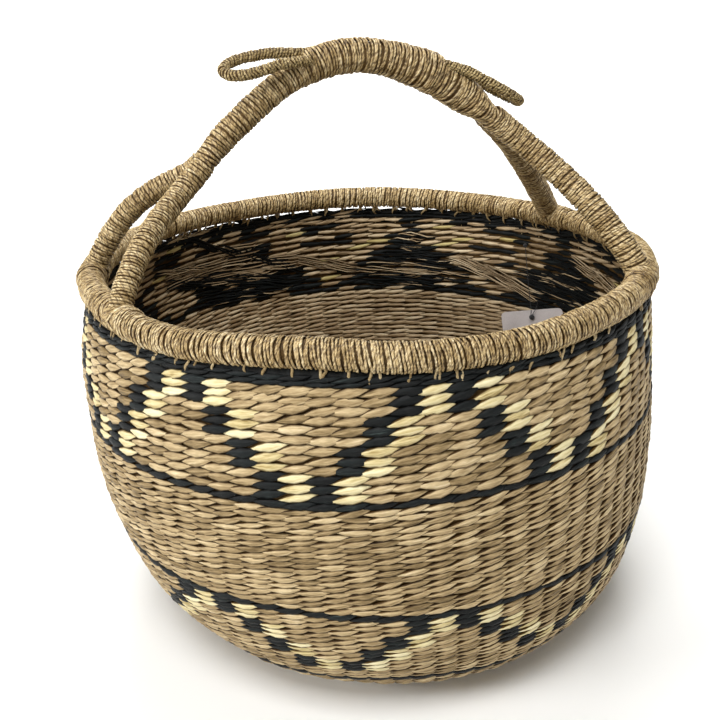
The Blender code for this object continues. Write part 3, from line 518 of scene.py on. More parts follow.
def weaveSpots(name, inner, chance, rowRange=None):
    band = bands[name]
    start, end = bandEnds(band)
    pitch = (end - start) / band["rows"]
    spots = []
    for row in range(*(rowRange or (0, band["rows"]))):
        along = start + (row + 0.5) * pitch
        radius = float(numpy.interp(along, outlineLengths, outlineRadii))
        columns = bowl["stakes"] if radius > 0.085 else (40 if radius > 0.045 else 20)
        skip = bowl["stakes"] // columns
        for column in range(columns):
            angle = math.radians(bowl["firstStake"] + 360 * column / columns + chance.uniform(-0.45, 0.45))
            depth = (stitch["innerDepth"] if inner else stitch["depth"]) + chance.uniform(-0.0003, 0.0003)
            spot, around, climb, normal = wallSpot(angle, along + chance.uniform(-0.05, 0.05) * pitch, depth)
            slant = math.radians(stitch["innerSlant" if inner else "slant"] + chance.gauss(0.0, 2.5))
            facing = -1.0 if inner else 1.0
            level = around * facing
            length = (level * math.cos(slant) + climb * math.sin(slant)).normalized()
            height = (climb * math.cos(slant) - level * math.sin(slant)).normalized()
            pitchesLong = stitch["innerPitchesLong" if inner else "pitchesLong"]
            wide = 2 * math.pi * radius / columns * pitchesLong / stitch["length"]
            tall = pitch * stitch["rowsHigh"] / stitch["height"]
            if inner:
                tall = min(pitch, stitch["innerHighest"]) * stitch["innerRowsHigh"] / stitch["height"]
            size = (wide, min(1.0, max(0.6, wide)), tall * chance.uniform(0.93, 1.07))
            dye = (innerDye(name, row, band["rows"], column * skip, chance.random()) if inner
                   else outerDye(name, row, band["rows"], column * skip))
            spots.append((spot, (length, -normal * facing, height), size, dye))
    return spots


for order, name in enumerate(bands):
    woven = layShapes(f"woven_{name}", weaveSpots(name, False, random.Random(100 + order)), stitchShapes,
                      strawWoven, 300 + order)
    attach(woven, "basket")
    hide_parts(name)
print("outer rows woven")

innerParts = {
    "inner_base": (("base_weave", None), ("base_dark_round", None)),
    "inner_lower": (("lower_pattern_band", None), ("lower_dark_round", None)),
    "inner_middle": (("plain_middle_band", None), ("upper_dark_round", None)),
    "inner_upper": (("upper_pattern_band", None), ("top_dark_rounds", None)),
}
for order, (name, parts) in enumerate(innerParts.items()):
    chance = random.Random(200 + order)
    spots = [spot for band, rows in parts for spot in weaveSpots(band, True, chance, rows)]
    woven = layShapes(f"woven_{name}", spots, stitchShapes, strawInnerPaintedLight, 340 + order, sizeSpread=0.08)
    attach(woven, "basket")
    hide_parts("inner_weft")
print("inner rows woven")


# Long floats inside, where a colour is carried behind the zigzag past several stakes

floatStrand = {"length": 0.046, "height": 0.0017, "thickness": 0.0014, "dive": 0.0012, "twist": 10.0, "climb": 0.0,
               "sway": 0.0012, "lumps": 0.15, "pointed": 0.5, "depth": 0.0076, "perColumn": 2.4,
               "carried": (((53.6, 0.2515), (46.6, 0.2040), 5, 0.005, 2), ((55.0, 0.2150), (47.5, 0.1960), 7, 0.010, 2),
                           ((37.2, 0.2130), (32.0, 0.1935), 8, 0.011, 0), ((46.8, 0.2130), (43.4, 0.2010), 5, 0.008, 0),
                           ((33.0, 0.2080), (27.4, 0.2120), 8, 0.012, 2), ((56.0, 0.2330), (52.5, 0.2230), 3, 0.004, 0),
                           ((55.2, 0.2240), (49.4, 0.2310), 7, 0.018, 0), ((52.6, 0.2105), (46.8, 0.2150), 5, 0.012, 0),
                           ((29.0, 0.2330), (23.8, 0.2240), 5, 0.010, 0))}
chance = random.Random(31)
floatShapes = shapeSet("float", [stitchMesh(f"float{k}", chance, 4, (0.03, 0.25, 0.5, 0.75, 0.97), floatStrand)
                                 for k in range(4)])


def floatSpots(chance):
    spots = []
    for name in ("upper_pattern_band", "lower_pattern_band"):
        band = bands[name]
        start, end = bandEnds(band)
        pitch = (end - start) / band["rows"]
        first = band["rows"] - 12
        for row in range(first, band["rows"]):
            group = (row - first) // 3
            for roof in range(8):
                brown = chance.random() < 0.22
                for lane in range(int(floatStrand["perColumn"] * max(0, 8 - 2 * (group + 1)))):
                    column = 10 * roof + chance.uniform(-1, 1) * (4 - (group + 1)) * 0.9
                    angle = math.radians(bowl["firstStake"] + 4.5 * column)
                    along = start + (row + chance.random()) * pitch
                    spot, around, climb, normal = wallSpot(angle, along, floatStrand["depth"])
                    slant = math.radians(chance.gauss(2.0, 3.0))
                    length = (-around * math.cos(slant) + climb * math.sin(slant)).normalized()
                    height = (climb * math.cos(slant) + around * math.sin(slant)).normalized()
                    reach = chance.uniform(0.55, 1.1) * (1.0 if group < 2 else 0.6)
                    dye = 0 if brown or chance.random() < 0.08 else 2
                    spots.append((spot, (length, normal, height), (reach, 1.0, chance.uniform(0.7, 1.2)), dye))
    # Bundles of loose strands that cross the wall inside at a slope: from and to (column, height), dye
    for start, end, lanes, spread, dye in floatStrand["carried"]:
        for lane in range(lanes):
            shift = (lane / (lanes - 1) - 0.5) * spread
            count = max(2, round(abs(end[0] - start[0]) / 1.9))
            for step in range(count):
                share = min(max((step + 0.5) / count + chance.uniform(-0.06, 0.06), 0.08), 0.92)
                place = [start[side] + (end[side] - start[side]) * share for side in (0, 1)]
                angle = math.radians(bowl["firstStake"] + 4.5 * place[0])
                depth = floatStrand["depth"] + chance.uniform(0.0, 0.0012)
                along = lengthAtHeight(place[1] + shift + chance.uniform(-0.0004, 0.0004))
                spot, around, climb, normal = wallSpot(angle, along, depth)
                run = math.radians(4.5 * (end[0] - start[0])) * 0.2
                slope = math.atan2(end[1] - start[1], -run) + chance.gauss(0.0, 0.03)
                length = (-around * math.cos(slope) + climb * math.sin(slope)).normalized()
                height = (climb * math.cos(slope) + around * math.sin(slope)).normalized()
                reach = 1.5 * math.hypot(run, end[1] - start[1]) / count / floatStrand["length"]
                spots.append((spot, (length, normal, height), (reach, 1.1, chance.uniform(0.8, 1.1)), dye))
    return spots


floats = layShapes("inner_floats", floatSpots(random.Random(41)), floatShapes, strawInnerPaintedLight, 360, 0.02, 0.1)
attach(floats, "basket")
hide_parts("inner_weft")


# Start of the base: two layers of grass stems laid across each other

baseStart = {"stems": 9, "spread": 0.040, "stemLength": 0.044, "stemWidth": 0.0052}
spots = []
for layer, quarter in ((0.0014, 0), (0.0052, 0), (0.0030, 1)):
    for stem in range(baseStart["stems"]):
        offset = (stem / (baseStart["stems"] - 1) - 0.5) * baseStart["spread"]
        length = Vector((1.0, 0.0, 0.0)) if quarter == 0 else Vector((0.0, 1.0, 0.0))
        side = Vector((0.0, 1.0, 0.0)) if quarter == 0 else Vector((1.0, 0.0, 0.0))
        reach = math.sqrt(max(0.2, 1 - (2 * offset / (baseStart["spread"] * 1.1)) ** 2))
        point = leaned(side * offset + up * layer)
        facing = up if layer < 0.004 else -up
        size = (baseStart["stemLength"] * reach / stitch["length"], 0.5, baseStart["stemWidth"] / stitch["height"])
        spots.append((point, (length, facing, length.cross(facing)), size, 0))
start = layShapes("crossed_base_start", spots, stitchShapes, strawWoven, 370)
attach(start, "basket")
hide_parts("base_start")
print("base started")


# Windings: turns of strand round a bundle, each a lumpy closed ring that leans a little


def turnMesh(name, chance, radius, width, thickness, waver, steps, sides=6):
    rings, facing = [], []
    phases = [chance.uniform(0, 2 * math.pi) for _ in range(4)]
    twists = chance.choice((2, 3, 3))
    for step in range(steps):
        turn = 2 * math.pi * step / steps - math.pi / 2
        sway = waver * (math.sin(turn * 2 + phases[0]) + 0.6 * math.sin(turn * 5 + phases[1]))
        grow = 1 + 0.022 * math.sin(turn * 3 + phases[2])
        wide = width / 2 * (1 + 0.12 * math.sin(turn * 4 + phases[3]))
        outward = Vector((0.0, math.cos(turn), math.sin(turn)))
        middle = outward * radius * grow + Vector((sway, 0.0, 0.0))
        # The flat strand twists as it is wound, so it shows now its face and now its edge
        face = twists * turn + 0.6 * math.sin(2 * turn + phases[1]) + phases[2]
        flat, edge = math.cos(face), math.sin(face)
        ring = []
        for side in range(sides):
            angle = 2 * math.pi * side / sides
            over, out = math.sin(angle) * wide, math.cos(angle) * thickness / 2
            ring.append(middle + outward * (out * flat - over * edge * 0.7) + Vector((over * flat + out * edge, 0.0, 0.0)))
        rings.append(ring)
        # How far each point faces out from the bundle; the finish darkens the strand's sides with it as painted shade
        facing += [(point - middle).normalized().dot(outward) for point in ring]
    mesh = skinRings(name, rings, [step / steps for step in range(steps + 1)], True)
    mesh.attributes.new("facing", "FLOAT", "POINT").data.foreach_set("value", facing)
    return mesh


def turnShapes(name, seed, count, radius, width, thickness, waver, steps):
    chance = random.Random(seed)
    return shapeSet(name, [turnMesh(f"{name}{k}", chance, radius, width, thickness, waver, steps)
                           for k in range(count)])


def tubeMesh(name, rows, sides=12):
    # A plain bundle under a winding; rows are (point, side, rise, half width, half height)
    rings = []
    for point, side, rise, wide, tall in rows:
        angles = [2 * math.pi * step / sides for step in range(sides)]
        rings.append([point + side * math.cos(a) * wide + rise * math.sin(a) * tall for a in angles])
    total = [0.0]
    for low, high in zip(rows, rows[1:]):
        total.append(total[-1] + (high[0] - low[0]).length * 20)
    return rings, total


def addTube(name, rows, finish, closed=False, sides=12):
    rings, total = tubeMesh(name, rows, sides)
    if closed:
        total.append(total[-1] * 2 - total[-2])
    mesh = skinRings(name, rings, total, closed)
    mesh.materials.append(finish)
    piece = bpy.data.objects.new(name, mesh)
    scene.collection.objects.link(piece)
    return piece


# Painted shade: the bundle of stems under a winding is coloured dark brown, standing for the shade between its turns
bundleLook = {key: value for key, value in wovenLook.items() if key != "bleached"}
bundleStrawPaintedShade = strawFinish("bundled grass stems, dark as painted shade", dict(bundleLook, **{"shadeDepth": 1.0,
    "natural": ((0.10, "#3a2913"), (0.50, "#5c4420"), (0.90, "#7d6134"))}))

# The cage of stakes between the two layers of weft: a closed sheet in the dark bundle finish, so it shows only as
# painted shade in the gaps between the stitches
cage = {"top": 0.2570, "closing": 0.0065, "inner": 0.020, "rows": 46, "perStake": 4, "depth": 0.0036, "thickness": 0.0008, "rib": 0.0006}


def cageMesh(name):
    alongs = numpy.linspace(cage["inner"], lengthAtHeight(cage["top"]), cage["rows"])
    sheet = [(along, 1.0) for along in alongs] + [(along, -1.0) for along in alongs[::-1]]
    rings, count = [], bowl["stakes"] * cage["perStake"]
    top = lengthAtHeight(cage["top"])
    for step in range(count):
        angle = math.radians(bowl["firstStake"]) + 2 * math.pi * step / count
        closed = cage["closing"] * smoothStep((math.cos(angle) + 0.3) / 0.5)
        swell = cage["rib"] * math.cos(angle * bowl["stakes"] - math.radians(bowl["firstStake"]) * bowl["stakes"])
        rings.append([wallSpot(angle, along, cage["depth"] - side * (cage["thickness"] + swell))[0]
                      + up * (closed if along > top - 0.0001 else 0.0) for along, side in sheet])
    mesh = skinRings(name, rings, [step / cage["perStake"] for step in range(count + 1)], True)
    dyes = [2.0 if along > top - 0.012 else 0.0 for along, side in sheet] * count
    mesh.attributes.new("dye", "FLOAT", "POINT").data.foreach_set("value", dyes)
    return mesh


stakeCage = bpy.data.objects.new("warp_stake_cage", cageMesh("warp_stake_cage"))
stakeCage.data.materials.append(bundleStrawPaintedShade)
scene.collection.objects.link(stakeCage)
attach(stakeCage, "basket")
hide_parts("warp_stakes")
print("stakes set")

rim = {
    "radius": 0.1955,
    "height": 0.2710,
    "bundle": 0.0095,       # over the winding
    "strandWidth": 0.0021,
    "strandThickness": 0.0018,
    "turnSpacing": 0.00184,
    "lean": 7.0,            # degrees
    "waver": 0.00022,
    "slimmer": 0.08,        # at the back corners, as in the photograph
    # how far it dips over the wall, from left to right: degrees from the front, metres
    "dips": ((-185, 0.0003), (-172, 0.0004), (-160, 0.0012), (-145, 0.0013), (-125, 0.0004), (-110, 0.0), (-58, 0.0), (-50, 0.0015), (-43, 0.0040), (-35, 0.0042), (-28, 0.0028), (-20, 0.0005), (-10, 0.0),
             (-4, 0.0010), (3, 0.0032), (10, 0.0042), (17, 0.0051), (24, 0.0054), (32, 0.0045), (42, 0.0028),
             (55, 0.0018), (66, 0.0006), (75, 0.0), (92, 0.0004), (104, 0.0014), (118, 0.0018), (130, 0.0020), (142, 0.0021),
             (152, 0.0017), (165, 0.0008), (175, 0.0003), (185, 0.0003)),
    "flatter": 0.0020,      # where the right back leg comes down
}


def rimSpot(angle):
    degrees = (math.degrees(angle) + 180) % 360 - 180
    dip = float(numpy.interp(degrees, [place for place, drop in rim["dips"]], [drop for place, drop in rim["dips"]]))
    corner = math.exp(-((abs(degrees) - 135) / 28) ** 2)
    reach = rim["radius"] - rim["flatter"] * math.exp(-((degrees - 110) / 16) ** 2) - 0.0008 * math.exp(-((degrees + 88) / 14) ** 2)
    return leaned(directionAt(angle) * reach + up * rim["height"]) - up * (dip + 0.0003 * corner), corner, dip


def rimSpots(chance, first, last, spacing, lean, grow=1.0, skip=()):
    spots = []
    count = int((last - first) * rim["radius"] / spacing)
    for order in range(count):
        angle = first + (last - first) * (order + chance.uniform(-0.12, 0.12)) / count
        if any(abs((angle - low + math.pi) % (2 * math.pi) - math.pi) < reach for low, reach in skip):
            continue
        outwards = directionAt(angle)
        around = Vector((math.cos(angle), math.sin(angle), 0.0))
        wave = 0.0004 * math.sin(5 * angle + 1.3) + 0.0003 * math.sin(13 * angle)
        point, corner, _ = rimSpot(angle)
        point += outwards * wave + up * 0.0004 * math.sin(4 * angle + 0.4)
        turn = (Matrix.Rotation(math.radians(lean + chance.gauss(0.0, 2.5)), 3, outwards)
                @ Matrix.Rotation(math.radians(chance.gauss(0.0, 3.0)), 3, "Z"))
        size = grow * chance.uniform(0.982, 1.014) * (1 - rim["slimmer"] * corner)
        spots.append((point, (turn @ around, -outwards, turn @ up), (1.0, size, size), 0))
    return spots


strandMiddle = rim["bundle"] - 0.0009
rimTurns = turnShapes("rimTurn", 51, 9, strandMiddle, rim["strandWidth"], rim["strandThickness"], rim["waver"], 24)
rimWinding = layShapes("rim_winding", rimSpots(random.Random(52), 0.0, 2 * math.pi, rim["turnSpacing"], rim["lean"]),
                       rimTurns, strawWound, 380, 0.02, 0.01)
rimBundle = addTube("rim_bundle", [
    (rimSpot(2 * math.pi * step / 120)[0], directionAt(2 * math.pi * step / 120), up, 0.0075, 0.0075) for step in range(120)], bundleStrawPaintedShade, True, 10)
for piece, nodes in ((rimWinding, ("rim_wrap",)), (rimBundle, ("rim_core",))):
    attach(piece, "basket")
    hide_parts(*nodes)
print("rim wound")


# Stake ends that climb from the wall into the rim, and pairs of straw lashed over the dark rounds

lashing = {"length": 0.0180, "height": 0.0019, "thickness": 0.0015, "dive": 0.0010, "twist": 0.0, "climb": 0.0,
           "sway": 0.0006, "lumps": 0.12, "pointed": 0.5, "apart": 0.0034, "low": 0.2583, "high": 0.2650}
chance = random.Random(61)
lashShapes = shapeSet("lash", [stitchMesh(f"lash{k}", chance, 5, (0.03, 0.2, 0.4, 0.6, 0.8, 0.97), lashing)
                               for k in range(4)])
lashSpots, stakeSpots = [], []
for column in range(bowl["stakes"]):
    middleAngle = math.radians(bowl["firstStake"] + 4.5 * column + chance.uniform(-0.5, 0.5))
    for facing, near in ((1.0, 0.0004), (-1.0, 0.0074)):
        for side in (-0.5, 0.5):
            if chance.random() < 0.38:
                continue
            angle = middleAngle + side * lashing["apart"] / 0.2 + chance.uniform(-0.010, 0.010)
            dip = rimSpot(angle)[2]
            low = wallSpot(angle, lengthAtHeight(lashing["low"] - 0.8 * dip + chance.uniform(-0.0025, 0.0008)), near)
            outwards = directionAt(angle)
            top = leaned(outwards * (rim["radius"] + facing * 0.0052) + up * (lashing["high"] - dip))
            climb = (top - low[0]).normalized()
            tilt = chance.gauss(0.0, 16.0) + 6.0 * side
            normal = (outwards - climb * climb.dot(outwards)).normalized()
            climb = Matrix.Rotation(math.radians(tilt), 3, normal) @ climb
            length = (top - low[0]).length * 1.12 / lashing["length"]
            lashSpots.append(((top + low[0]) / 2, (climb, -normal * facing, climb.cross(-normal * facing)),
                              (length, 1.0, 1.0), 0))
    for side in (-0.3, 0.25):
        angle = middleAngle + side * 0.01
        low = wallSpot(angle, lengthAtHeight(0.246), 0.0036)
        outwards = directionAt(angle)
        top = leaned(outwards * rim["radius"] + up * 0.2665)
        climb = (top - low[0]).normalized()
        normal = (outwards - climb * climb.dot(outwards)).normalized()
        stakeSpots.append(((top + low[0]) / 2, (climb, -normal, climb.cross(-normal)),
                           ((top - low[0]).length * 1.1 / lashing["length"], 1.3, 1.2), 0))
lashings = layShapes("rim_lashings", lashSpots, lashShapes, strawLashed, 390, 0.05, 0.1)
stakes = layShapes("stake_ends", stakeSpots, lashShapes, strawLashed, 391, 0.03, 0.1)
for piece in (lashings, stakes):
    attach(piece, "basket")
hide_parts("warp_stakes")
print("rim lashed to the wall")


# Handle: two bundles side by side over the arch, which part at each end into legs

handle = {
    "rise": 0.141,
    "turn": 12.1,                     # degrees from the X axis
    "forward": 0.0162, "leftward": 0.0040,
    "arch": ((-0.560, 0.545), (-0.448, 0.704), (-0.234, 0.925), (-0.028, 1.000), (0.175, 0.943),
             (0.339, 0.823), (0.460, 0.692)),
    # front leg and back leg: angle of its foot, pull at the fork, pull at the foot, drop into the rim
    "left": ((-52.0, 0.32, 0.40, 0.53), (-82.0, 0.21, 0.66, 0.45)),
    "right": ((69.2, 0.30, 0.36, 0.35), (127.3, 0.21, 0.25, 0.07)),
    "forkOffset": 0.00815,
    "flareLength": 0.026,
    "armRadius": 0.0095, "legRadius": 0.0080, "gripRadius": 0.0099, "crown": 0.0015,
    "gripFrom": -0.042, "gripTo": 0.052,
    "strandWidth": 0.0021, "strandThickness": 0.0018,
    "turnSpacing": 0.00184,
    "lean": 11.0,
    "waver": 0.00022,
    # How much thicker than the CAD: at the grip, right of it, and the legs
    "fuller": 0.0008, "fullerRight": 0.0023, "fullerLegs": {"left": 0.0002, "right": 0.0012},
}


def footPoint(angle):
    return directionAt(math.radians(angle)) * rim["radius"] + up * rim["height"]


def crossFrame(heading, back):
    side = (back - heading * back.dot(heading)).normalized()
    return side, heading.cross(side).normalized()


handleAlong = Vector((math.cos(math.radians(handle["turn"])), math.sin(math.radians(handle["turn"])), 0.0))
handleBack = up.cross(handleAlong)
handleMiddle = up * rim["height"] - handleAlong * handle["leftward"] - handleBack * handle["forward"]
archKnots = [handleMiddle + handleAlong * reach * rim["radius"] + up * rise * handle["rise"]
             for reach, rise in handle["arch"]]
archLine = [splinePoint(archKnots, step / 8) for step in range(8 * (len(archKnots) - 1) + 1)]
archLengths = [0.0]
for low, high in zip(archLine, archLine[1:]):
    archLengths.append(archLengths[-1] + (high - low).length)
archTotal = archLengths[-1]
crest = min(range(len(archLine)), key=lambda index: abs((archLine[index] - handleMiddle).dot(handleAlong)))
gripFrom = archLengths[crest] + handle["gripFrom"]
gripTo = archLengths[crest] + handle["gripTo"]


def archSpot(distance):
    distance = min(max(distance, 0.0), archTotal)
    place = float(numpy.interp(distance, archLengths, range(len(archLengths)))) / 8
    heading = splinePoint(archKnots, min(place + 0.12, len(archKnots) - 1)) - splinePoint(archKnots, max(place - 0.12, 0.0))
    return splinePoint(archKnots, place), heading.normalized()


def archEnd(distance):
    # The CAD takes its heading from its own points there
    index = 0 if distance == 0.0 else len(archLine) - 2
    near = archLine[min(index + 2, len(archLine) - 1)] - archLine[max(index - 1, 0)]
    return (archLine[0] if distance == 0.0 else archLine[-1]), near.normalized()


def legLine(end, order):
    point, heading = archEnd(0.0 if end == "left" else archTotal)
    heading = -heading if end == "left" else heading
    fork = point + handleBack * handle["forkOffset"] * (-1, 1)[order]
    angle, forkPull, footPull, dropShare = handle[end][order]
    foot = footPoint(angle)
    length = (foot - fork).length
    drop = ((foot - fork).normalized() * (1 - dropShare) - up * dropShare).normalized()
    pulls = (fork, fork + heading * length * forkPull, foot - drop * length * footPull, foot)
    spots = []
    for step in range(49):
        part = step / 48
        rest = 1 - part
        point = (pulls[0] * rest ** 3 + pulls[1] * 3 * rest ** 2 * part + pulls[2] * 3 * rest * part ** 2
                 + pulls[3] * part ** 3)
        slope = ((pulls[1] - pulls[0]) * rest ** 2 + (pulls[2] - pulls[1]) * 2 * rest * part
                 + (pulls[3] - pulls[2]) * part ** 2)
        spots.append((point, slope.normalized()))
    return spots


def parting(distance):
    return smoothStep(1 - min(distance, archTotal - distance) / handle["flareLength"])


middleShift = Vector((bowl["middleX"], 0.0, 0.0))
handleTurn = handle["armRadius"] - 0.0009
handleTurns = turnShapes("handleTurn", 71, 9, handleTurn, handle["strandWidth"], handle["strandThickness"],
                         handle["waver"], 24)


def turnAt(point, heading, wide, tall, chance, lean, lift=0.0):
    side, rise = crossFrame(heading, handleBack)
    turn = (Matrix.Rotation(math.radians(lean + chance.gauss(0.0, 2.4)), 3, rise)
            @ Matrix.Rotation(math.radians(chance.gauss(0.0, 2.2)), 3, side))
    wobble = chance.uniform(0.98, 1.014)
    return (point + middleShift + rise * lift, (turn @ heading, turn @ side, turn @ rise),
            (1.0, wide / handleTurn * wobble, tall / handleTurn * wobble), 0)


def archTurns(start, end, chance, grip):
    spots, rows = [], []
    half = 0.0009
    count = int((end - start) / handle["turnSpacing"])
    for order in range(count + 1):
        distance = start + (end - start) * order / count
        point, heading = archSpot(distance)
        parted = parting(distance)
        outside = handle["gripRadius"] if grip else handle["armRadius"]
        past = distance - archLengths[crest]
        outside += handle["fuller"] * smoothStep((past + 0.06) / 0.03)
        outside += handle["fullerRight"] * (smoothStep((past - 0.005) / 0.045) - 0.25 * smoothStep((past - 0.07) / 0.06))
        tall = outside + (handle["legRadius"] - outside) * parted - half
        wide = tall + handle["forkOffset"] * parted
        crown = handle["crown"] if grip else 0.0
        spots.append(turnAt(point, heading, wide, tall + crown / 2, chance, handle["lean"], crown / 2))
        side, rise = crossFrame(heading, handleBack)
        rows.append((point + middleShift, side, rise, wide - 0.0002, tall - 0.0002))
    return spots, rows


for order, (name, start, end, grip) in enumerate((("left_arm_wrap", 0.0, gripFrom, False),
                                                  ("grip_wrap", gripFrom, gripTo, True),
                                                  ("right_arm_wrap", gripTo, archTotal, False))):
    spots, rows = archTurns(start, end, random.Random(72 + order), grip)
    wound = layShapes(name.replace("wrap", "winding"), spots, handleTurns, strawWound, 400 + order, 0.02, 0.012)
    inside = addTube(name.replace("wrap", "bundles"), rows, bundleStrawPaintedShade, False, 14)
    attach(wound, "basket")
    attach(inside, "basket")
    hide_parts(name)
    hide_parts("front_bundle", "back_bundle")

for order, (end, which) in enumerate((("left", 0), ("left", 1), ("right", 0), ("right", 1))):
    chance = random.Random(81 + order)
    line = legLine(end, which)
    lengths = [0.0]
    for low, high in zip(line, line[1:]):
        lengths.append(lengths[-1] + (high[0] - low[0]).length)
    spots, rows = [], []
    count = int((lengths[-1] - 0.004) / handle["turnSpacing"])
    half = 0.0009
    for step in range(count + 1):
        place = float(numpy.interp((lengths[-1] - 0.004) * step / count, lengths, range(len(lengths))))
        index = min(int(place), len(line) - 2)
        point = line[index][0].lerp(line[index + 1][0], place - index)
        heading = line[index][1].lerp(line[index + 1][1], place - index).normalized()
        size = handle["legRadius"] - half + handle["fullerLegs"][end]
        spots.append(turnAt(point, heading, size, size, chance, handle["lean"] * (1 if end == "right" else -1)))
        side, rise = crossFrame(heading, handleBack)
        rows.append((point + middleShift, side, rise, size - 0.0002, size - 0.0002))
    name = f"{end}_{('front', 'back')[which]}_leg"
    wound = layShapes(name + "_winding", spots, handleTurns, strawWound, 410 + order, 0.02, 0.012)
    inside = addTube(name + "_bundle", rows, bundleStrawPaintedShade, False, 10)
    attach(wound, "basket")
    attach(inside, "basket")
    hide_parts(name + "_wrap")
    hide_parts(("front", "back")[which] + "_bundle")
print("handle wound")


# Bindings: a second winding on the rim at each foot, with a few turns that cross over the foot

binding = {"halfLength": 0.020, "grow": 1.10, "gap": 0.0075, "crossTurns": 5, "crossLean": 34.0}
for order, (end, which) in enumerate((("left", 0), ("left", 1), ("right", 0), ("right", 1))):
    chance = random.Random(91 + order)
    middleAngle = math.radians(handle[end][which][0])
    reach = binding["halfLength"] / rim["radius"]
    spots = rimSpots(chance, middleAngle - reach, middleAngle + reach, rim["turnSpacing"], rim["lean"], binding["grow"],
                     [(middleAngle, binding["gap"] / rim["radius"])])
    for way in (-1, 1):
        for step in range(binding["crossTurns"]):
            angle = middleAngle + way * (step - 2) * 0.0019 / rim["radius"]
            outwards = directionAt(angle)
            around = Vector((math.cos(angle), math.sin(angle), 0.0))
            turn = Matrix.Rotation(math.radians(way * binding["crossLean"] + chance.gauss(0, 3)), 3, outwards)
            grow = binding["grow"] * 1.05
            point = rimSpot(angle)[0]
            spots.append((point, (turn @ around, -outwards, turn @ up), (1.0, grow, grow / 0.95), 0))
    name = f"{end}_{('front', 'back')[which]}_foot"
    bound = layShapes(name + "_winding", spots, rimTurns, strawWound, 420 + order, 0.03, 0.015)
    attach(bound, "basket")
    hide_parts(name + "_binding")
print("feet bound")


# Two small loops of wound strand at the ends of the grip

loops = {
    "strandRadius": 0.0040,
    "root": 0.010, "sink": 0.0050,      # how far its ends go on under the winding of the grip
    "left_loop": {"at": gripFrom, "sign": -1.0, "length": 0.045, "drop": 11.0, "clock": 30.0, "shift": 0.0, "lift": 0.0014, "width": 0.0205},
    "right_loop": {"at": gripTo, "sign": 1.0, "length": 0.059, "drop": 29.0, "clock": -4.0, "shift": 0.004, "lift": -0.0012, "width": 0.024},
    "strandWidth": 0.0023, "strandThickness": 0.0016, "turnSpacing": 0.0020,
}


def loopLine(loop):
    # The CAD takes this point and heading from its own line of arch points
    index = max(step for step in range(len(archLine) - 1) if archLengths[step] < loop["at"])
    part = (loop["at"] - archLengths[index]) / (archLengths[index + 1] - archLengths[index])
    point = archLine[index].lerp(archLine[index + 1], part)
    heading = (archLine[min(index + 2, len(archLine) - 1)] - archLine[max(index - 1, 0)]).normalized()
    side, rise = crossFrame(heading, handleBack)
    drop, clock, sign = math.radians(loop["drop"]), math.radians(loop["clock"]), loop["sign"]
    level = Vector((heading.x, heading.y, 0.0)).normalized() * sign
    outwards = level * math.cos(drop) - up * math.sin(drop)
    clear = rise * math.cos(clock) - side * math.sin(clock)
    across = side * math.cos(clock) + rise * math.sin(clock)
    spacing = loops["strandRadius"] + 0.0003
    start = point + clear * (handle["armRadius"] + spacing) + heading * sign * (0.0009 + loop["shift"]) + up * loop["lift"]
    swell = loop["width"] / 2 - spacing
    spots = []
    for step in range(81):
        turn = math.pi * step / 80
        hidden = max(0.0, 1 - math.sin(turn) / 0.22)
        spots.append(start + outwards * (loop["length"] * math.sin(turn) - loops["root"] * hidden)
                     - clear * loops["sink"] * hidden
                     + across * (spacing * math.cos(turn) + swell * math.sin(2 * turn)) + middleShift)
    return spots, clear


loopTurns = turnShapes("loopTurn", 95, 5, loops["strandRadius"] - loops["strandThickness"] / 2, loops["strandWidth"],
                       loops["strandThickness"], 0.0003, 14)
for order, name in enumerate(("left_loop", "right_loop")):
    chance = random.Random(96 + order)
    line, clear = loopLine(loops[name])
    lengths = [0.0]
    for low, high in zip(line, line[1:]):
        lengths.append(lengths[-1] + (high - low).length)
    spots, rows = [], []
    count = int(lengths[-1] / loops["turnSpacing"])
    for step in range(count + 1):
        place = float(numpy.interp(lengths[-1] * step / count, lengths, range(len(lengths))))
        index = min(int(place), len(line) - 2)
        point = line[index].lerp(line[index + 1], place - index)
        heading = (line[min(index + 2, 80)] - line[max(index - 1, 0)]).normalized()
        side, rise = crossFrame(heading, clear)
        turn = Matrix.Rotation(math.radians(22 + chance.gauss(0, 4)), 3, rise)
        spots.append((point, (turn @ heading, turn @ side, rise), (1.0, 1.0, 1.0), 0))
        rows.append((point, side, rise, loops["strandRadius"] - 0.0010, loops["strandRadius"] - 0.0010))
    wound = layShapes(name + "_winding", spots, loopTurns, strawLoop, 430 + order, 0.03, 0.03)
    inside = addTube(name + "_bundle", rows, bundleStrawPaintedShade, False, 8)
    for piece in (wound, inside):
        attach(piece, "basket")
        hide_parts(name)
print("loops wound")


# Hang tag: a card of uncoated paper on a thin black thread

# Uncoated paper board, cut and punched: flat, pale grey with a faint lilac cast and short pulp fibres
paper = bpy.data.materials.new("uncoated paper board")
paper.use_nodes = True
paperTree = paper.node_tree
paperShader = paperTree.nodes["Principled BSDF"]
where = addNode(paperTree, "ShaderNodeTexCoord")
pulp = addNode(paperTree, "ShaderNodeTexNoise", links={"Vector": where.outputs["Object"], "Scale": 900.0, "Detail": 4.0})
cloudy = addNode(paperTree, "ShaderNodeTexNoise", links={"Vector": where.outputs["Object"], "Scale": 60.0, "Detail": 2.0})
both = addNode(paperTree, "ShaderNodeMath", {"operation": "MULTIPLY_ADD"}, {0: pulp.outputs[0], 1: 0.5, 2: cloudy.outputs[0]})
paperRamp = addNode(paperTree, "ShaderNodeValToRGB", links={0: both.outputs[0]})
paperRamp.color_ramp.elements[0].position = 0.45
paperRamp.color_ramp.elements[0].color = linearColour("#b8b0ae")
paperRamp.color_ramp.elements[1].position = 0.95
paperRamp.color_ramp.elements[1].color = linearColour("#cdc6c4")
paperTree.links.new(paperRamp.outputs[0], paperShader.inputs["Base Color"])
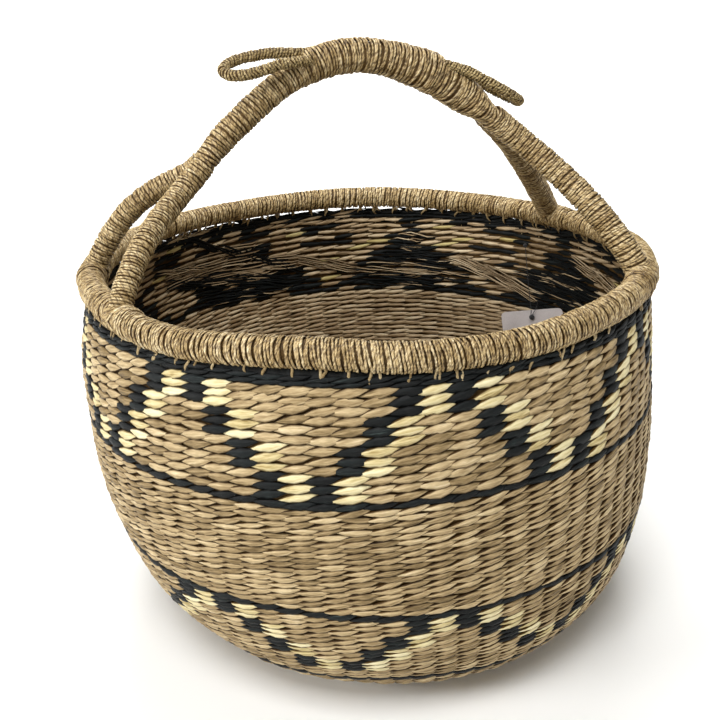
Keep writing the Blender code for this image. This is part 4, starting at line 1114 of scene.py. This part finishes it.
paperBump = addNode(paperTree, "ShaderNodeBump", links={"Height": pulp.outputs[0], "Strength": 0.2, "Distance": 0.0001})
paperTree.links.new(paperBump.outputs[0], paperShader.inputs["Normal"])
paperShader.inputs["Roughness"].default_value = 0.85
paperShader.inputs["Specular IOR Level"].default_value = 0.25
card = frame["nodes"]["tag_card"]
card.data.materials.clear()
card.data.materials.append(paper)

# Mercerised cotton thread, dyed black: fine twisted plies, a soft dull black
threadBlack = bpy.data.materials.new("black cotton thread")
threadBlack.use_nodes = True
threadTree = threadBlack.node_tree
threadShader = threadTree.nodes["Principled BSDF"]
where = addNode(threadTree, "ShaderNodeTexCoord")
plies = addNode(threadTree, "ShaderNodeTexWave", {"bands_direction": "DIAGONAL"},
                {"Vector": where.outputs["Object"], "Scale": 700.0, "Distortion": 1.5})
plyRamp = addNode(threadTree, "ShaderNodeValToRGB", links={0: plies.outputs["Fac"]})
plyRamp.color_ramp.elements[0].color = linearColour("#0b0b0c")
plyRamp.color_ramp.elements[1].color = linearColour("#26262a")
threadTree.links.new(plyRamp.outputs[0], threadShader.inputs["Base Color"])
plyBump = addNode(threadTree, "ShaderNodeBump", links={"Height": plies.outputs["Fac"], "Strength": 0.4, "Distance": 0.0002})
threadTree.links.new(plyBump.outputs[0], threadShader.inputs["Normal"])
threadShader.inputs["Roughness"].default_value = 0.7
threadShader.inputs["Sheen Weight"].default_value = 0.3

tag = {
    "tie": Vector((0.139149, 0.13665, 0.23718)),
    "cardTop": Vector((0.143319, 0.11913, 0.1836)),
    "heading": -31.0, "tilt": 13.0, "lean": 9.0,
    "holeDrop": 0.0062, "holeRadius": 0.0021,
    "threadRadius": 0.0003, "knotRadius": 0.0020,
}
level = Vector((math.cos(math.radians(tag["heading"])), math.sin(math.radians(tag["heading"])), 0.0))
cardWidth = level * math.cos(math.radians(tag["tilt"])) + up * math.sin(math.radians(tag["tilt"]))
cardUpright = up * math.cos(math.radians(tag["tilt"])) - level * math.sin(math.radians(tag["tilt"]))
cardBack = up.cross(level)
cardRise = cardUpright * math.cos(math.radians(tag["lean"])) + cardBack * math.sin(math.radians(tag["lean"]))
cardNormal = cardBack * math.cos(math.radians(tag["lean"])) - cardUpright * math.sin(math.radians(tag["lean"]))
hole = tag["cardTop"] - cardRise * tag["holeDrop"]


def threadCurve(name, knots, radius, smooth=4):
    curve = bpy.data.curves.new(name, "CURVE")
    curve.dimensions = "3D"
    curve.bevel_depth = radius
    curve.bevel_resolution = 3
    curve.use_fill_caps = True
    spline = curve.splines.new("POLY")
    steps = smooth * (len(knots) - 1)
    spline.points.add(steps)
    for step in range(steps + 1):
        spline.points[step].co = (*splinePoint(knots, step / smooth), 1.0)
    curve.materials.append(threadBlack)
    piece = bpy.data.objects.new(name, curve)
    scene.collection.objects.link(piece)
    return piece, [splinePoint(knots, step / smooth) for step in range(steps + 1)]


threadEnd = tag["cardTop"] + up * 0.0008
down = (threadEnd - tag["tie"]).normalized()
threadStart = tag["tie"] + down * (tag["knotRadius"] + 0.0003)
away = -directionAt(math.radians(134.4))
knots = [threadStart.lerp(threadEnd, step / 15) + away * 0.0006 * math.sin(math.pi * step / 15) for step in range(16)]
thread, threadLine = threadCurve("tag_thread_line", knots, tag["threadRadius"])

# The thread goes on through the hole as a small loop, with its knot and a short tail
loopKnots = []
for step in range(13):
    turn = 2 * math.pi * step / 12
    loopKnots.append(hole + cardRise * (0.5 * tag["holeDrop"] + 0.0002 - 0.5 * tag["holeDrop"] * math.cos(turn))
                     + cardNormal * 0.0009 * math.sin(turn) + cardWidth * 0.0004 * math.sin(2 * turn))
tagLoop = threadCurve("tag_thread_loop", loopKnots, tag["threadRadius"], 6)[0]
tailKnots = [hole + cardNormal * -0.0012, hole + cardNormal * -0.0020 + cardWidth * 0.003 + cardRise * 0.004,
             hole + cardNormal * -0.0030 + cardWidth * 0.006 + cardRise * 0.0075,
             hole + cardNormal * -0.0034 + cardWidth * 0.0085 + cardRise * 0.0125]
tagTail = threadCurve("tag_thread_tail", tailKnots, tag["threadRadius"], 6)[0]


def knotMesh(name, middle, radius, turns, thick):
    # Three wraps of thread pulled tight
    chance = random.Random(7)
    tubes = []
    for wrap in range(turns):
        axis = Vector((chance.gauss(0, 1), chance.gauss(0, 1), chance.gauss(0, 1))).normalized()
        side = axis.orthogonal().normalized()
        other = axis.cross(side)
        rows = []
        for step in range(16):
            turn = 2 * math.pi * step / 16
            outward = side * math.cos(turn) + other * math.sin(turn)
            rows.append((middle + outward * (radius - thick), outward, axis, thick, thick))
        tubes.append(tubeMesh(name, rows, 6)[0])
    build = bmesh.new()
    for rings in tubes:
        rows = [[build.verts.new(point) for point in ring] for ring in rings]
        rows.append(rows[0])
        for low, high in zip(rows, rows[1:]):
            for side in range(6):
                build.faces.new((low[side], low[(side + 1) % 6], high[(side + 1) % 6], high[side]))
    bmesh.ops.create_icosphere(build, subdivisions=2, radius=radius - thick, matrix=Matrix.Translation(middle))
    bmesh.ops.recalc_face_normals(build, faces=build.faces)
    mesh = bpy.data.meshes.new(name)
    build.to_mesh(mesh)
    build.free()
    mesh.shade_smooth()
    mesh.materials.append(threadBlack)
    piece = bpy.data.objects.new(name, mesh)
    scene.collection.objects.link(piece)
    return piece


wallKnot = knotMesh("tag_wall_knot", tag["tie"], tag["knotRadius"], 4, 0.0005)
cardKnot = knotMesh("tag_card_knot", hole - cardNormal * 0.0018 + cardWidth * 0.0008, 0.0025, 5, 0.0006)
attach(wallKnot, "basket")
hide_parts("tag_tie_knot")
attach(thread, "hanging_thread")
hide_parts("tag_thread")
for piece in (tagLoop, tagTail, cardKnot):
    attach(piece, "hanging_card")
print("tag hung")


# Studio: pale floor, soft light, and the camera that the outline, rim and rounds were fitted to

studio = {
    "sensor": 36.0, "lens": 48.74,
    "roll": 1.5251, "look": -21.9156,
    "middle": (-0.0117544, 0.0, 0.0), "away": (0.0, -0.691305, 0.466451),
}
# A round paper sweep: flat out to 1.3 m, then curved up, so every side has a pale ground
build = bmesh.new()
profile = [(0.0, 0.0), (0.6, 0.0), (1.3, 0.0)]
profile += [(1.3 + 0.6 * math.sin(math.radians(step)), 0.6 - 0.6 * math.cos(math.radians(step))) for step in range(10, 91, 10)]
rings = [[build.verts.new((reach * math.cos(turn / 24 * math.pi), reach * math.sin(turn / 24 * math.pi), height))
          for turn in range(48)] for reach, height in profile[1:]]
centre = build.verts.new((0.0, 0.0, 0.0))
for side in range(48):
    build.faces.new((centre, rings[0][side], rings[0][(side + 1) % 48]))
    for inner, outer in zip(rings, rings[1:]):
        build.faces.new((inner[side], outer[side], outer[(side + 1) % 48], inner[(side + 1) % 48]))
floorMesh = bpy.data.meshes.new("studio_floor")
build.to_mesh(floorMesh)
build.free()
floorMesh.shade_smooth()
floorObject = bpy.data.objects.new("studio_floor", floorMesh)
scene.collection.objects.link(floorObject)
floorFinish = bpy.data.materials.new("matt white paper floor")
floorFinish.use_nodes = True
floorShader = floorFinish.node_tree.nodes["Principled BSDF"]
floorShader.inputs["Base Color"].default_value = linearColour("#f4f4f2")
floorShader.inputs["Roughness"].default_value = 0.9
floorMesh.materials.append(floorFinish)

world = bpy.data.worlds.new("soft studio")
scene.world = world
world.use_nodes = True
background = world.node_tree.nodes["Background"]
background.inputs[0].default_value = (1.0, 1.0, 1.0, 1.0)
# Soft fill light from all round, and white where the camera sees past the paper
ray = addNode(world.node_tree, "ShaderNodeLightPath")
strength = addNode(world.node_tree, "ShaderNodeMapRange", links={0: ray.outputs["Is Camera Ray"], 3: 0.20, 4: 1.0})
world.node_tree.links.new(strength.outputs[0], background.inputs[1])
scene.view_settings.view_transform = "Standard"
# The last one lights the paper behind, and turns its back on the basket
for name, place, aim, size, power in (("side", (-2.4, -1.0, 0.9), (0.0, 0.0, 0.18), 0.8, 57.0),
                                      ("front", (-0.35, -1.4, 2.5), (0.0, 0.0, 0.18), 1.2, 61.0),
                                      ("ground", (0.0, 0.7, 1.5), (0.0, 1.7, 0.0), 1.0, 30.0)):
    light = bpy.data.lights.new(name, "AREA")
    light.size = size
    light.energy = power
    lamp = bpy.data.objects.new(name, light)
    lamp.location = place
    lamp.rotation_euler = (Vector(aim) - Vector(place)).to_track_quat("-Z", "Y").to_euler()
    scene.collection.objects.link(lamp)

cameraData = bpy.data.cameras.new("camera")
cameraData.sensor_width = studio["sensor"]
cameraData.lens = studio["lens"]
camera = bpy.data.objects.new("camera", cameraData)
camera.matrix_world = (Matrix.Translation(studio["middle"]) @ Matrix.Rotation(math.radians(studio["roll"]), 4, "Y")
                       @ Matrix.Translation(studio["away"])
                       @ Matrix.Rotation(math.radians(90.0 + studio["look"]), 4, "X"))
scene.collection.objects.link(camera)
scene.camera = camera

for shape in (stitchShapes, floatShapes, rimTurns, handleTurns, loopTurns, lashShapes):
    for item in list(shape.objects):
        bpy.data.objects.remove(item, do_unlink=True)
    bpy.data.collections.remove(shape)
print("stage set")
